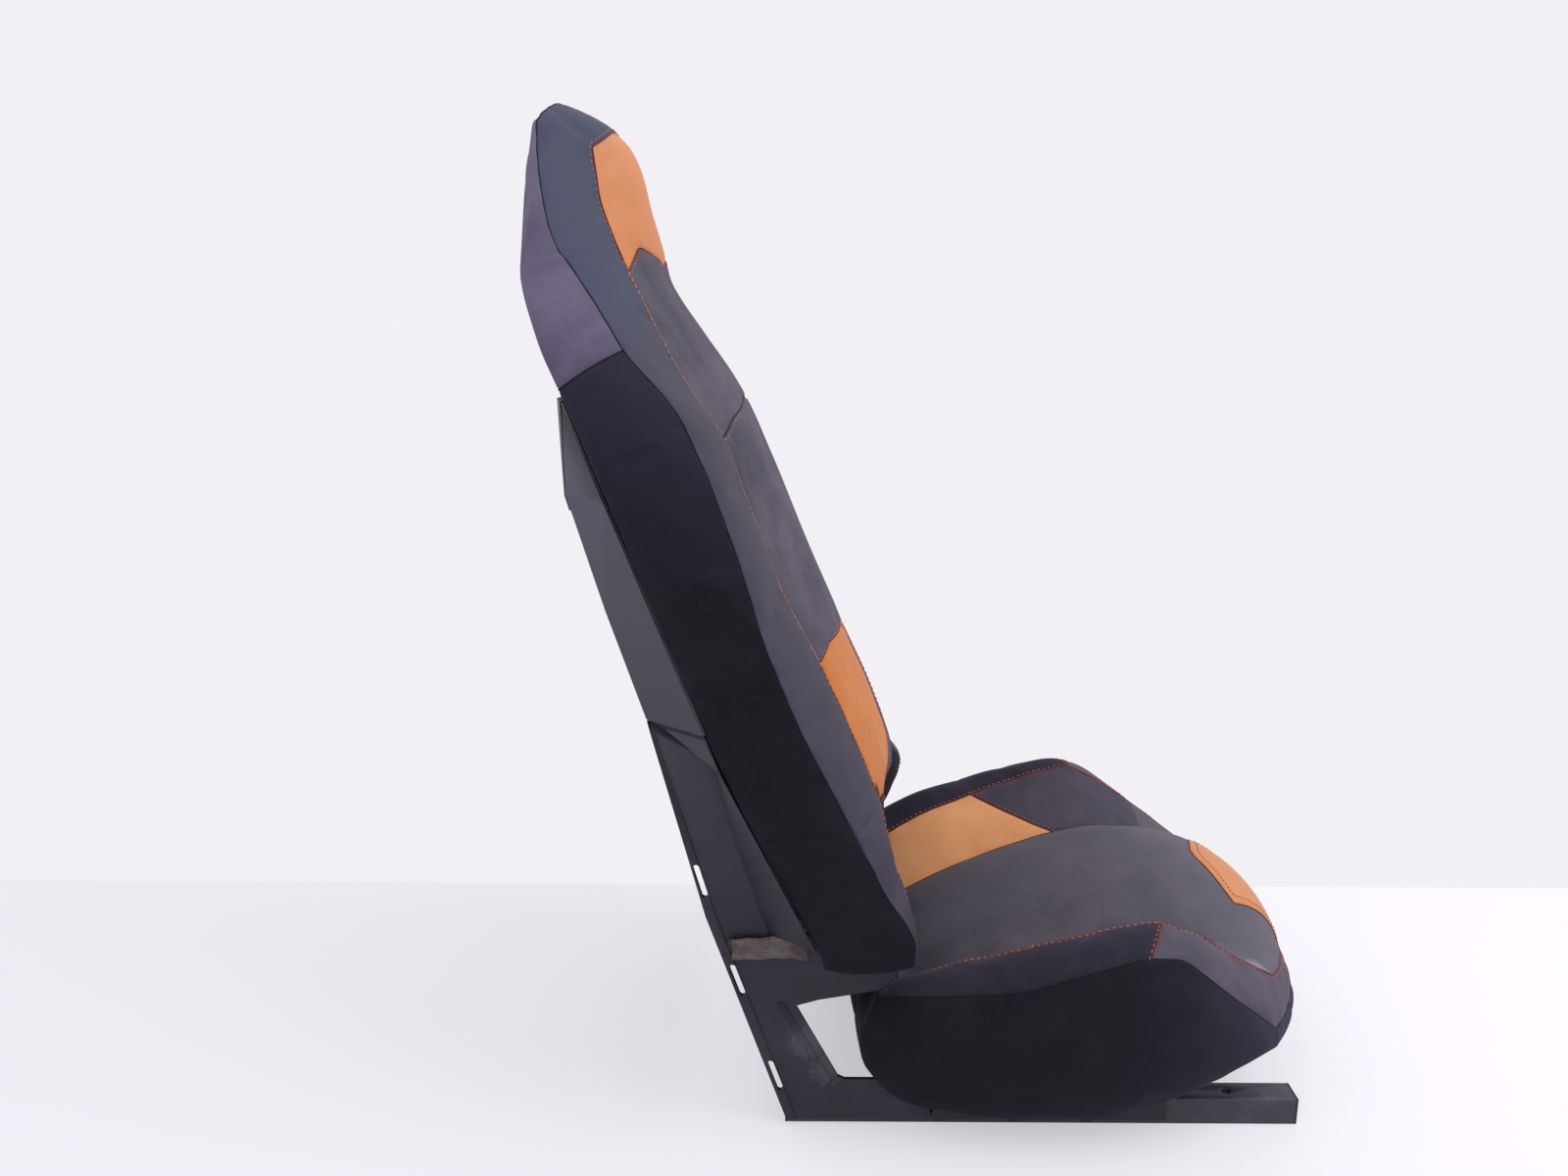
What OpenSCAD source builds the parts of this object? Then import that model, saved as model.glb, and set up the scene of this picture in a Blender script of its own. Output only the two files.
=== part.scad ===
// Off-road bucket seat: moulded carrier shell on two square rails, with a one-piece
// upholstered back and a separate seat cushion. Millimetres. +X is forward (the way the
// occupant faces), +Y is the occupant's left, +Z is up. The origin is the centre of the
// floor bolt pattern, on the floor plane.

/* [Base rails] */
// Length of each rail
rail_len = 460; // [420:5:520]
// Outside size of the square tube
rail_size = 25; // [22:1:30]
// Wall of the tube
rail_wall = 2; // [1.5:0.5:3]
// Width over the outer faces of the two rails
rail_track = 340; // [320:2:360]
// Floor bolt spacing along the rail
floor_pitch = 340; // [300:5:380]
// Floor bolt hole in the rails
floor_hole = 9; // [7:0.5:11]
// Outside diameter of the crush sleeve
sleeve_od = 14; // [13:0.5:16]
// Depth of an end plug's stem
plug_stem = 12; // [8:1:16]
// Thickness of an end plug's head
plug_head = 2; // [1:0.5:4]
// Place of the front crossmember's axis
cross_front_x = 92; // [80:1:100]
// Place of the rear crossmember's axis
cross_rear_x = -118; // [-124:1:-110]

/* [Carrier shell] */
// Wall of the moulding
shell_wall = 4; // [3:0.5:5]
// Height of the side plates' lower edge
foot_z = 6; // [3:1:10]
// Rear end of the side plates at the foot
foot_x = -231; // [-240:1:-226]
// Height of the bend in the rear edge
bend_z = 205; // [195:1:215]
// Lean of the rear edge below the bend, in degrees
lean_low = 19.6; // [18:0.1:21]
// Lean of the rear edge above the bend, in degrees
lean_high = 16.4; // [15:0.1:18]
// Height of the top of the leaning edge
shell_knee_z = 575; // [560:5:590]
// Height of the top of the shell
shell_top_z = 652; // [640:1:656]
// Height of the sill
sill_z = 46; // [40:1:50]
// Front end of the sill
sill_front_x = 112; // [105:1:120]
// Height of the arm's top, under the back cushion
arm_top_z = 176; // [170:1:177]
// Front end of the arm
arm_front_x = -98; // [-110:1:-90]
// Depth of the recess behind the back wall
recess_depth = 20; // [14:1:26]
// Bottom of the back wall
back_wall_low_z = 78; // [70:1:100]
// Width of the raised rim along the rear edge
rim_w = 9; // [8:0.5:12]
// Height of the raised rim
rim_h = 1.5; // [1:0.25:3]
// Length of a strap slot
slot_len = 32; // [24:1:40]
// Width of a strap slot
slot_w = 5.5; // [5.5:0.1:6]
// Spacing of the strap slots along the edge
slot_pitch = 100; // [80:1:104]
// Height of the lowest slot's centre
slot_low_z = 50; // [44:1:56]
// Distance from the rear edge to the slots' centre line
slot_edge = 5.5; // [5:0.1:6]
// Width of a rib on the back wall
rib_w = 3; // [2:0.5:4]
// Half the distance between the two long ribs
rib_y = 62; // [50:1:75]

/* [Seat cushion] */
// Height of the stitched crest where it is highest
crest_z = 207; // [200:1:212]
// Half width at the crest where it is widest
crest_half = 185; // [175:1:190]
// Bulge of the side beyond the side line
side_bulge = 11; // [6:1:14]
// Half width of the centre panel
centre_half = 115; // [104:1:122]
// Height of the crown above the centre panel's edges
centre_crown = 22; // [14:1:26]
// Thickness of the padded cover
cover_t = 6; // [5:0.5:7]
// Clearance between cover, foam, board and pan
fit_gap = 0.3; // [0.2:0.05:0.4]

/* [Seat pan] */
// Height of the pan's floor, upper face
pan_z = 50; // [49:1:54]
// Wall of the pan
pan_wall = 3.5; // [3:0.5:4]
// Half width over the pan's side flanges
pan_half = 182; // [180:1:186]
// Rear end of the pan
pan_rear_x = -146; // [-148:1:-140]
// Where the pan's floor starts to rise
pan_bend_x = 78; // [70:1:90]
// Front end of the pan
pan_front_x = 165; // [160:1:168]
// Rise of the pan's front lip
pan_rise = 34; // [28:1:36]
// Depth of the side flanges
flange_drop = 14; // [10:1:18]
// Half the distance between the pan's bolts
pan_bolt_y = 105; // [90:1:120]

/* [Back cushion] */
// Height of the underside
back_low_z = 178; // [178:1:182]
// Height of the rear face's bend
back_bend_z = 346; // [330:1:360]
// Height of the shoulder corner at the rear face
shoulder_z = 660; // [658:1:670]
// Height of the headrest's top
head_top_z = 889; // [880:1:900]
// Half width at the widest crease
back_half = 228; // [220:1:235]
// Bulge of the side panels
back_bulge = 7; // [3:1:10]
// Thickness of the back board
board_t = 5; // [4:0.5:7]
// Gap between the cushion's rear edge and the shell's lip
lip_gap = 1.5; // [1:0.5:3]

/* [Fasteners] */
// Bolts through the sills and rails
shell_bolt_d = 8; // [6:1:8]
// Bolts up into the pan
pan_bolt_d = 6; // [5:1:8]
// Screws into the back board
back_screw_d = 6; // [5:1:6]
// Screw that holds the strap
strap_screw_d = 5; // [4:1:6]

/* [Pull strap] */
// Width of the webbing
strap_w = 20; // [18:1:22]
// Thickness of the doubled webbing
strap_t = 3.4; // [2.4:0.2:4]
// Length that shows outside the shell
strap_show = 66; // [50:1:68]
// Height of the strap's lower edge
strap_z = 166; // [164:1:167]

/* [Hidden] */

eps = 0.01;
round_fn = 48;
rail_y = rail_track / 2 - rail_size / 2;
plate_in = rail_track / 2;
plate_out = plate_in + shell_wall;
bend_x = foot_x - (bend_z - foot_z) * tan(lean_low);
knee_x = bend_x - (shell_knee_z - bend_z) * tan(lean_high);
rim_top_z = 372;
shell_bolt_x = [-94, -28, 38];
shell_bolt_z = 15;
cross_len = rail_track - 2 * rail_size;
back_post_z = [262, 560];
back_post_y = 96;
bore_over = 20;
strap_y = plate_out + fit_gap;
strap_slit_x = -216;
strap_screw_gap = 20;
strap_screw_x = strap_slit_x - strap_screw_gap;
strap_slit_w = strap_t + 2;

// ---------------------------------------------------------------- helpers

// rear edge of the shell at a height
function shell_rear(z) = z < bend_z
    ? foot_x - (z - foot_z) * tan(lean_low)
    : z < shell_knee_z
        ? bend_x - (z - bend_z) * tan(lean_high)
        : knee_x - (z - shell_knee_z) * 0.04;

// stack of rings joined into one closed solid, with a fan at each end
function ring_mid(r) = (r[0] + r[len(r) / 2]) / 2;

module loft(rings) {
    n = len(rings[0]);
    m = len(rings);
    points = concat([for (r = rings) each r], [ring_mid(rings[0]), ring_mid(rings[m - 1])]);
    sides = [for (i = [0:m - 2], j = [0:n - 1])
        let (a = i * n + j, b = i * n + (j + 1) % n)
        each [[a, b, b + n], [a, b + n, a + n]]];
    first = [for (j = [0:n - 1]) [(j + 1) % n, j, m * n]];
    last = [for (j = [0:n - 1]) let (k = (m - 1) * n) [k + j, k + (j + 1) % n, m * n + 1]];
    polyhedron(points, concat(sides, first, last));
}

// half a ring, from the rear or top centre to the front or bottom centre, made whole
function whole(half) = concat(half, [for (i = [len(half) - 2:-1:1])
    [half[i][0], -half[i][1], half[i][2]]]);

module both_sides() {
    children();
    mirror([0, 1, 0]) children();
}

// outline in X and Z, given a width centred on Y = 0
module slab(outline, width) {
    translate([0, width / 2, 0]) rotate([90, 0, 0]) linear_extrude(width) polygon(outline);
}

// rounded bar outline along Z, for slots
module slot_shape(length, width) {
    hull_len = length - width;
    union() {
        square([width, hull_len], center = true);
        translate([0, hull_len / 2]) circle(d = width, $fn = 24);
        translate([0, -hull_len / 2]) circle(d = width, $fn = 24);
    }
}

module hex_bolt(d, length, head_h) {
    cylinder(d = d, h = length, $fn = round_fn);
    translate([0, 0, -head_h]) cylinder(d = d * 1.9, h = head_h, $fn = 6);
}

module ring_part(od, id, h) {
    difference() {
        cylinder(d = od, h = h, $fn = round_fn);
        translate([0, 0, -1]) cylinder(d = id, h = h + 2, $fn = round_fn);
    }
}

// ---------------------------------------------------------------- base

module rail_tube() {
    difference() {
        translate([-rail_len / 2, -rail_size / 2, 0]) cube([rail_len, rail_size, rail_size]);
        translate([-rail_len / 2 - 1, -rail_size / 2 + rail_wall, rail_wall])
            cube([rail_len + 2, rail_size - 2 * rail_wall, rail_size - 2 * rail_wall]);
        for (sx = [-1, 1]) translate([sx * floor_pitch / 2, 0, -1])
            cylinder(d = floor_hole, h = rail_size + 2, $fn = round_fn);
        for (x = shell_bolt_x) translate([x, rail_size, shell_bolt_z]) rotate([90, 0, 0])
            cylinder(d = shell_bolt_d + 1, h = 2 * rail_size, $fn = round_fn);
    }
}

module base_rail_right() {
    color("#26262a") translate([0, -rail_y, 0]) rail_tube();
}

module base_rail_left() {
    color("#26262a") translate([0, rail_y, 0]) rail_tube();
}

module crossmember() {
    difference() {
        translate([-rail_size / 2, -cross_len / 2, 0]) cube([rail_size, cross_len, rail_size]);
        translate([-rail_size / 2 + rail_wall, -cross_len / 2 - 1, rail_wall])
            cube([rail_size - 2 * rail_wall, cross_len + 2, rail_size - 2 * rail_wall]);
        for (s = [-1, 1]) translate([0, s * pan_bolt_y, -1])
            cylinder(d = pan_bolt_d + 1, h = rail_size + 2, $fn = round_fn);
    }
}

module crossmember_front() {
    color("#26262a") translate([cross_front_x, 0, 0]) crossmember();
}

module crossmember_rear() {
    color("#26262a") translate([cross_rear_x, 0, 0]) crossmember();
}

module rail_end_plugs() {
    stem = rail_size - 2 * rail_wall - 2 * fit_gap;
    color("#1b1b1d") both_sides() for (a = [0, 180]) translate([0, rail_y, rail_size / 2])
        rotate([0, 0, a]) translate([rail_len / 2, 0, 0]) {
            translate([plug_head / 2, 0, 0]) cube([plug_head, rail_size, rail_size], center = true);
            difference() {
                translate([-plug_stem / 2 + eps, 0, 0])
                    cube([plug_stem, stem, stem], center = true);
                translate([-plug_stem / 2 - 1, 0, 0])
                    cube([plug_stem, stem - 4, stem - 4], center = true);
            }
        }
}

module rail_sleeves() {
    color("#8a8c90") both_sides() for (sx = [-1, 1])
        translate([sx * floor_pitch / 2, rail_y, rail_wall])
            ring_part(sleeve_od, floor_hole, rail_size - 2 * rail_wall);
}

// ---------------------------------------------------------------- carrier shell

// rear line of the back cushion, as [height, distance forward]
b_rear_x = [[178, -200], [346, -282], [660, -408], [700, -428], [754, -445], [815, -444],
    [866, -434], [889, -428]];

// rear edge of the back cushion at a height
function back_rear(z) = lookup(z, b_rear_x);
function lip_x(z) = back_rear(z) - lip_gap;
function lip_half(z) = lookup(z, [[188, 204], [205, 208], [349, 216], [600, 214], [652, 206]]);

// crease between the side plate and the flared panel, and the panel's spread above the plate
flare_low_z = 188;
crease_turn_z = 385;
crease_x = [[188, -247], [205, -254], [260, -272], [349, -297], [385, -350], [480, -381],
    [575, -409.5], [652, -412.5]];
flare_spread = [[385, 0], [480, 6], [575, 8], [652, 14]];
flare_z = [flare_low_z, bend_z, 260, 349, crease_turn_z, 480, shell_knee_z, shell_top_z];

function root_x(z) = max(lookup(z, crease_x), shell_rear(z));
function root_y(z) = plate_out + lookup(z, flare_spread);
function flare_y(x, z) = root_y(z)
    + (lip_half(z) - root_y(z)) * (x - root_x(z)) / (lip_x(z) - root_x(z));

// flared panel from the crease out to the lip beside the cushion's rear edge
module flare_panel() {
    loft([for (z = flare_z) [
        [root_x(z), root_y(z) - 0.5, z],
        [lip_x(z), lip_half(z), z],
        [lip_x(z), lip_half(z) - 1.3 * shell_wall, z],
        [root_x(z) + shell_wall, root_y(z) - shell_wall + 0.5, z]]]);
}

// side plate with its sill, strut and arm
plate_line = concat(
    [[foot_x, foot_z], [sill_front_x, foot_z], [sill_front_x, 30], [sill_front_x - 16, sill_z],
        [-179, sill_z], [-185, 49], [-223, 119], [-203, 125], [-147, 135], [-117, 143],
        [arm_front_x, 152], [arm_front_x, arm_top_z], [lip_x(arm_top_z) + 3, arm_top_z],
        [lip_x(flare_low_z), flare_low_z]],
    [for (z = [flare_low_z, bend_z, 260, 349, crease_turn_z - 2])
        [root_x(z) + shell_wall / 2, z + (z == flare_low_z ? 2 : 0)]],
    [[shell_rear(crease_turn_z - 2), crease_turn_z - 2], [bend_x, bend_z]]);

module side_plate() {
    translate([0, plate_out, 0]) rotate([90, 0, 0]) linear_extrude(shell_wall)
        polygon(plate_line);
}

// band along the rear edge, between two distances from it and two heights
module rear_band(d0, d1, z0, z1, width) {
    mid = z0 < bend_z && z1 > bend_z ? [bend_z] : [];
    zs = concat([z0], mid, [z1]);
    slab(concat([for (z = zs) [shell_rear(z) + d0, z]],
        [for (i = [len(zs) - 1:-1:0]) [shell_rear(zs[i]) + d1, zs[i]]]), width);
}

// back wall: a narrow lower part, and an upper part that widens with the flared panels
wall_front = recess_depth + shell_wall;
wall_top_z = shell_knee_z + 15;
wing_low_z = 376;
function wall_half(z) = z <= wing_low_z ? plate_in + 1.3
    : flare_y(shell_rear(z) + recess_depth + shell_wall / 2, z) - 0.6 * shell_wall;

module back_wall() {
    half = [for (z = [back_wall_low_z, wing_low_z, crease_turn_z, 430, 480, wall_top_z + 20])
        [wall_half(min(z, shell_knee_z)), z]];
    intersection() {
        rear_band(recess_depth, wall_front, back_wall_low_z, wall_top_z, 3 * plate_in);
        translate([2 * foot_x, 0, 0]) rotate([90, 0, 90]) linear_extrude(-2 * foot_x)
            polygon(concat(half, [for (i = [len(half) - 1:-1:0]) [-half[i][0], half[i][1]]]));
    }
}

// closed head of the recess, up to the shell's top edge
head_z0 = shell_knee_z - 12;
module shell_head() {
    half = plate_out + 7;
    slab([[shell_rear(head_z0), head_z0], [shell_rear(shell_knee_z), shell_knee_z],
        [shell_rear(shell_top_z), shell_top_z], [shell_rear(shell_top_z) + 5, shell_top_z],
        [shell_rear(shell_knee_z) + shell_wall, shell_knee_z],
        [shell_rear(head_z0) + shell_wall, head_z0]], 2 * half);
    rear_band(0, wall_front - 1, head_z0, head_z0 + shell_wall, 2 * half);
}

module back_ribs() {
    for (s = [-1, 1]) translate([0, s * rib_y, 0])
        rear_band(6, recess_depth + 1, back_wall_low_z + 6, head_z0 + 1, rib_w);
    for (z = [back_wall_low_z, 215, 330, 445])
        rear_band(6, recess_depth + 1, z, z + rib_w, 2 * plate_in + 1);
}

// raised rim along the rear edge, where the slots are
module rim() {
    translate([0, plate_out + (rim_h - 1) / 2, 0])
        rear_band(0, rim_w, foot_z, rim_top_z, rim_h + 1);
}

module strap_slots() {
    for (i = [0:2]) {
        z = slot_low_z + i * slot_pitch * cos(lean_low);
        lean = z < bend_z ? lean_low : lean_high;
        translate([shell_rear(z) + slot_edge / cos(lean), plate_out + rim_h + 1, z])
            rotate([90, 0, 0]) rotate([0, 0, lean])
                linear_extrude(shell_wall + rim_h + 2) slot_shape(slot_len, slot_w);
    }
}

// shelf under the back cushion, between the arms
shelf_rear_x = -208;
shelf_front_x = -130;
module arm_shelf() {
    translate([shelf_rear_x, -plate_in - 0.5, arm_top_z - shell_wall])
        cube([shelf_front_x - shelf_rear_x, 2 * plate_in + 1, shell_wall]);
}

// raised lip along the strut, by the window
module strut_lip() {
    translate([0, plate_out + 1.2, 0]) rotate([90, 0, 0]) linear_extrude(2)
        polygon([[-239, 121], [-234, 123], [-190, 44], [-195, 42]]);
}

// lean of the back cushion's rear face at a height
function back_tilt(z) = z < back_bend_z
    ? atan((back_rear(back_low_z) - back_rear(back_bend_z)) / (back_bend_z - back_low_z))
    : atan((back_rear(back_bend_z) - back_rear(shoulder_z)) / (shoulder_z - back_bend_z));

// places at the back board's fixings: on the cushion's rear face, +Z into the board
module at_back_posts(s, i) {
    translate([back_rear(back_post_z[i]), s * back_post_y, back_post_z[i]])
        rotate([0, 90 - back_tilt(back_post_z[i]), 0]) children();
}

module each_back_post() {
    for (s = [-1, 1], i = [0, 1]) at_back_posts(s, i) children();
}

// distance from the cushion's rear face to the back wall, along a post
post_len = [for (z = back_post_z) back_rear(z) - shell_rear(z) - recess_depth + 1.5];
post_d = 22;
screw_seat = 8;

module back_posts() {
    for (s = [-1, 1], i = [0, 1]) at_back_posts(s, i) translate([0, 0, -post_len[i]])
        cylinder(d = post_d, h = post_len[i], $fn = round_fn);
}

module post_bores() {
    for (s = [-1, 1], i = [0, 1]) at_back_posts(s, i) {
        translate([0, 0, -screw_seat - 1])
            cylinder(d = back_screw_d + 0.6, h = screw_seat + 2, $fn = round_fn);
        translate([0, 0, -post_len[i] - bore_over]) cylinder(d = 2.4 * back_screw_d,
            h = post_len[i] + bore_over - screw_seat, $fn = round_fn);
    }
}

module carrier_shell() {
    color("#3a3a40") difference() {
        union() {
            both_sides() {
                flare_panel();
                side_plate();
                rim();
                strut_lip();
            }
            back_wall();
            shell_head();
            back_ribs();
            arm_shelf();
            back_posts();
        }
        both_sides() strap_slots();
        post_bores();
        // slit for the pull strap, on the right-hand side only
        translate([strap_slit_x - strap_slit_w / 2, -plate_out - 2, strap_z - 1])
            cube([strap_slit_w, shell_wall + 4, strap_w + 2]);
        // holes for the shell bolts
        both_sides() for (x = shell_bolt_x) translate([x, plate_out + 1, shell_bolt_z])
            rotate([90, 0, 0]) cylinder(d = shell_bolt_d + 1, h = shell_wall + 2, $fn = round_fn);
        // hole for the strap's screw
        translate([strap_screw_x, -plate_in + 1, strap_z + strap_w / 2])
            rotate([90, 0, 0]) cylinder(d = strap_screw_d + 0.2, h = shell_wall + 2, $fn = round_fn);
    }
}

washer_t = 1.6;
nut_h = 6.5;
bolt_len = shell_wall + rail_size + 2 * washer_t + nut_h + 2;

module at_shell_bolts() {
    both_sides() for (x = shell_bolt_x) translate([x, plate_out, shell_bolt_z])
        rotate([90, 0, 0]) children();
}

module shell_bolts() {
    color("#6f7276") at_shell_bolts() translate([0, 0, -washer_t])
        hex_bolt(shell_bolt_d, bolt_len, 5.3);
}

module shell_washers() {
    color("#9a9da1") at_shell_bolts() translate([0, 0, -washer_t])
        ring_part(2 * shell_bolt_d, shell_bolt_d + 0.4, washer_t);
}

module shell_nuts() {
    color("#8a8c90") at_shell_bolts() translate([0, 0, shell_wall + rail_size]) difference() {
        union() {
            cylinder(d = 2.2 * shell_bolt_d, h = 1.5, $fn = round_fn);
            cylinder(d = 1.85 * shell_bolt_d, h = nut_h, $fn = 6);
        }
        translate([0, 0, -1]) cylinder(d = shell_bolt_d + 0.1, h = nut_h + 2, $fn = round_fn);
    }
}

// ---------------------------------------------------------------- seat pan

function pan_top(x) = x < pan_bend_x ? pan_z
    : pan_z + pan_rise * (x - pan_bend_x) / (pan_front_x - pan_bend_x);

pan_corner = 60;

module pan_plan(inset) {
    offset_half = pan_half - inset;
    polygon([
        [pan_rear_x + inset, offset_half - 26], [pan_rear_x + 26 + inset, offset_half],
        [pan_bend_x + 40, offset_half], [pan_front_x - inset, offset_half - pan_corner],
        [pan_front_x - inset, -offset_half + pan_corner], [pan_bend_x + 40, -offset_half],
        [pan_rear_x + 26 + inset, -offset_half], [pan_rear_x + inset, -offset_half + 26]]);
}

module pan_profile(low, high, width) {
    slab([[pan_rear_x - 1, pan_z + low], [pan_bend_x, pan_z + low],
        [pan_front_x + 1, pan_top(pan_front_x + 1) + low],
        [pan_front_x + 1, pan_top(pan_front_x + 1) + high], [pan_bend_x, pan_z + high],
        [pan_rear_x - 1, pan_z + high]], width);
}

module seat_pan() {
    color("#2c2c30") difference() {
        union() {
            // floor with its rising front lip
            intersection() {
                translate([0, 0, 20]) linear_extrude(100) pan_plan(0);
                pan_profile(-pan_wall, 0, 2 * pan_half + 2);
            }
            // flanges that drop outside the sills
            both_sides() intersection() {
                translate([pan_rear_x + 26, pan_half - pan_wall, pan_z - flange_drop])
                    cube([pan_bend_x - pan_rear_x - 46, pan_wall, flange_drop + 20]);
                pan_profile(-flange_drop, 0, 2 * pan_half + 2);
            }
            // stiffening ribs under the floor
            for (x = [-60, -10, 40]) translate([x, -pan_half + 14, pan_z - pan_wall - 10])
                cube([3, 2 * pan_half - 28, 10.5]);
            // posts that stand on the crossmembers
            for (x = [cross_rear_x, cross_front_x], s = [-1, 1])
                translate([x, s * pan_bolt_y, rail_size])
                    cylinder(d = 20, h = pan_top(x) - pan_wall / 2 - rail_size, $fn = round_fn);
        }
        // sockets for the inserts
        for (x = [cross_rear_x, cross_front_x], s = [-1, 1])
            translate([x, s * pan_bolt_y, rail_size - 1]) cylinder(d = 9, h = 16, $fn = round_fn);
        // vent holes
        for (x = [-85, -35, 15, 65], s = [-1, 1])
            translate([x, s * 48, pan_z - pan_wall - 1]) cylinder(d = 14, h = pan_wall + 2, $fn = round_fn);
    }
}

module at_pan_bolts() {
    for (x = [cross_rear_x, cross_front_x], s = [-1, 1]) translate([x, s * pan_bolt_y, 0])
        children();
}

module pan_inserts() {
    color("#b08d4a") at_pan_bolts() translate([0, 0, rail_size])
        ring_part(9, pan_bolt_d + 0.1, 12);
}

// the heads and washers sit in the open underside of the crossmember, on its top wall
module pan_bolts() {
    color("#6f7276") at_pan_bolts() translate([0, 0, rail_size - rail_wall - washer_t])
        hex_bolt(pan_bolt_d, rail_wall + washer_t + 11, 4);
}

module pan_washers() {
    color("#9a9da1") at_pan_bolts() translate([0, 0, rail_size - rail_wall - washer_t])
        ring_part(14, pan_bolt_d + 0.4, washer_t);
}

// ---------------------------------------------------------------- seat cushion

// lines of the cushion, each as [distance forward, height or half width]
s_crest_z = [[-162, 82], [-140, 116], [-111, 141], [-68, 161], [-38, 171], [-7, 182], [24, 192],
    [56, 202], [92, 207], [105, 202], [123, 193], [143, 181], [171, 162], [205, 139],
    [240, 112], [262, 98]];
s_crest_y = [[-162, 140], [-111, 156], [-68, 166], [-38, 171], [-7, 176], [56, 183], [92, 185],
    [123, 179], [171, 168], [205, 153], [235, 96], [250, 58], [262, 8]];
s_line_z = [[-162, 90], [-150, 120], [-140, 134], [-122, 142], [-90, 148], [-60, 153],
    [-33, 158], [-3, 169], [28, 181], [52, 190], [72, 196], [96, 196], [105, 191], [118, 180],
    [149, 153], [168, 137], [196, 110], [213, 100], [240, 92], [262, 92]];
s_line_y = [[-162, 180], [-122, 197], [-60, 212], [12, 222], [90, 227], [125, 224],
    [155, 216], [185, 200], [213, 172], [235, 116], [250, 72], [262, 10]];
s_low_z = [[-162, 70], [-147, 46], [-115, 33], [-62, 28], [-10, 28], [41, 30], [67, 36],
    [92, 42], [114, 49], [136, 58], [154, 65], [172, 75], [190, 84], [213, 82], [240, 76],
    [262, 84]];
s_low_y = [[-162, 172], [-120, 196], [-10, 208], [100, 206], [172, 190], [200, 164],
    [235, 104], [250, 62], [262, 8]];
s_centre_z = [[-162, 78], [-140, 92], [-105, 112], [-60, 134], [0, 160], [40, 176],
    [94, 191], [120, 192], [150, 191], [175, 187], [200, 178], [222, 164], [240, 144],
    [252, 124], [262, 100]];
s_under_z = [[165, 84], [190, 74], [220, 68], [240, 70], [262, 82]];
s_dip_y = [[-162, 96], [-60, 106], [59, 112], [94, 115], [125, 118], [160, 122],
    [190, 116], [213, 90], [240, 46], [262, 6]];
s_puff = [[-162, 2], [-100, 6], [80, 7], [130, 3], [262, 1]];

seat_x = [-162, -150, -122, -90, -60, -20, 30, 70, 98, 125, 150, 180, 200, 215, 228, 240, 250, 262];

function s_crest(x) = lookup(x, s_crest_z) + crest_z - 207;
function s_top(x) = lookup(x, s_centre_z);
function s_dip_drop(x) = centre_crown * lookup(x, [[-162, 0.05], [-105, 0.7], [-60, 0.85], [0, 0.9],
    [94, 1.2], [130, 1.35], [160, 1.3], [190, 0.9], [213, 0.6], [240, 0.4], [262, 0.1]]);
function s_has_pan(x) = x >= pan_rear_x - 4 && x <= pan_front_x;
function s_floor(x) = s_has_pan(x) ? pan_top(x) : x > 0 ? lookup(x, s_under_z) : lookup(x, s_low_z);
function s_skirt_y(x) = s_has_pan(x) && x < 130 ? pan_half + fit_gap : 0.8 * lookup(x, s_low_y);

function s_ring(x) = let (
        yd = lookup(x, s_dip_y) * centre_half / 115,
        zt = s_top(x),
        zd = zt - s_dip_drop(x),
        yc = lookup(x, s_crest_y) * crest_half / 185,
        zc = s_crest(x),
        yl = lookup(x, s_line_y),
        zl = lookup(x, s_line_z),
        yb = lookup(x, s_low_y),
        zb = lookup(x, s_low_z),
        bulge = side_bulge * lookup(x, [[-162, 0.4], [-100, 1], [180, 1], [262, 0.2]]),
        ys = s_skirt_y(x),
        zf = s_floor(x),
        zi = s_has_pan(x) && x < 130 ? zb : (zb + zf) / 2)
    whole([[x, 0, zt], [x, 0.55 * yd, zt - 0.3 * (zt - zd)], [x, yd, zd],
        [x, (yd + yc) / 2, (zd + zc) / 2 + 3], [x, yc - 6, zc - 2], [x, yc, zc],
        [x, (yc + yl) / 2, (zc + zl) / 2 + lookup(x, s_puff)], [x, yl, zl],
        [x, yl + 0.8 * bulge, zl - 0.28 * (zl - zb)], [x, yl + bulge, (zl + zb) / 2],
        [x, yb + 0.55 * (yl + bulge - yb), zb + 0.22 * (zl - zb)], [x, yb, zb],
        [x, ys + 0.01, zi], [x, ys, zf], [x, 0, zf]]);

module seat_outer() {
    loft([for (x = seat_x) s_ring(x)]);
}

// the same form drawn in by a distance, for the foam and for the space inside the cover
core_x = [-138, -116, -60, 0, 70, 98, 130, 156, 175, 200, 224, 240];
open_drop = 12;

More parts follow.
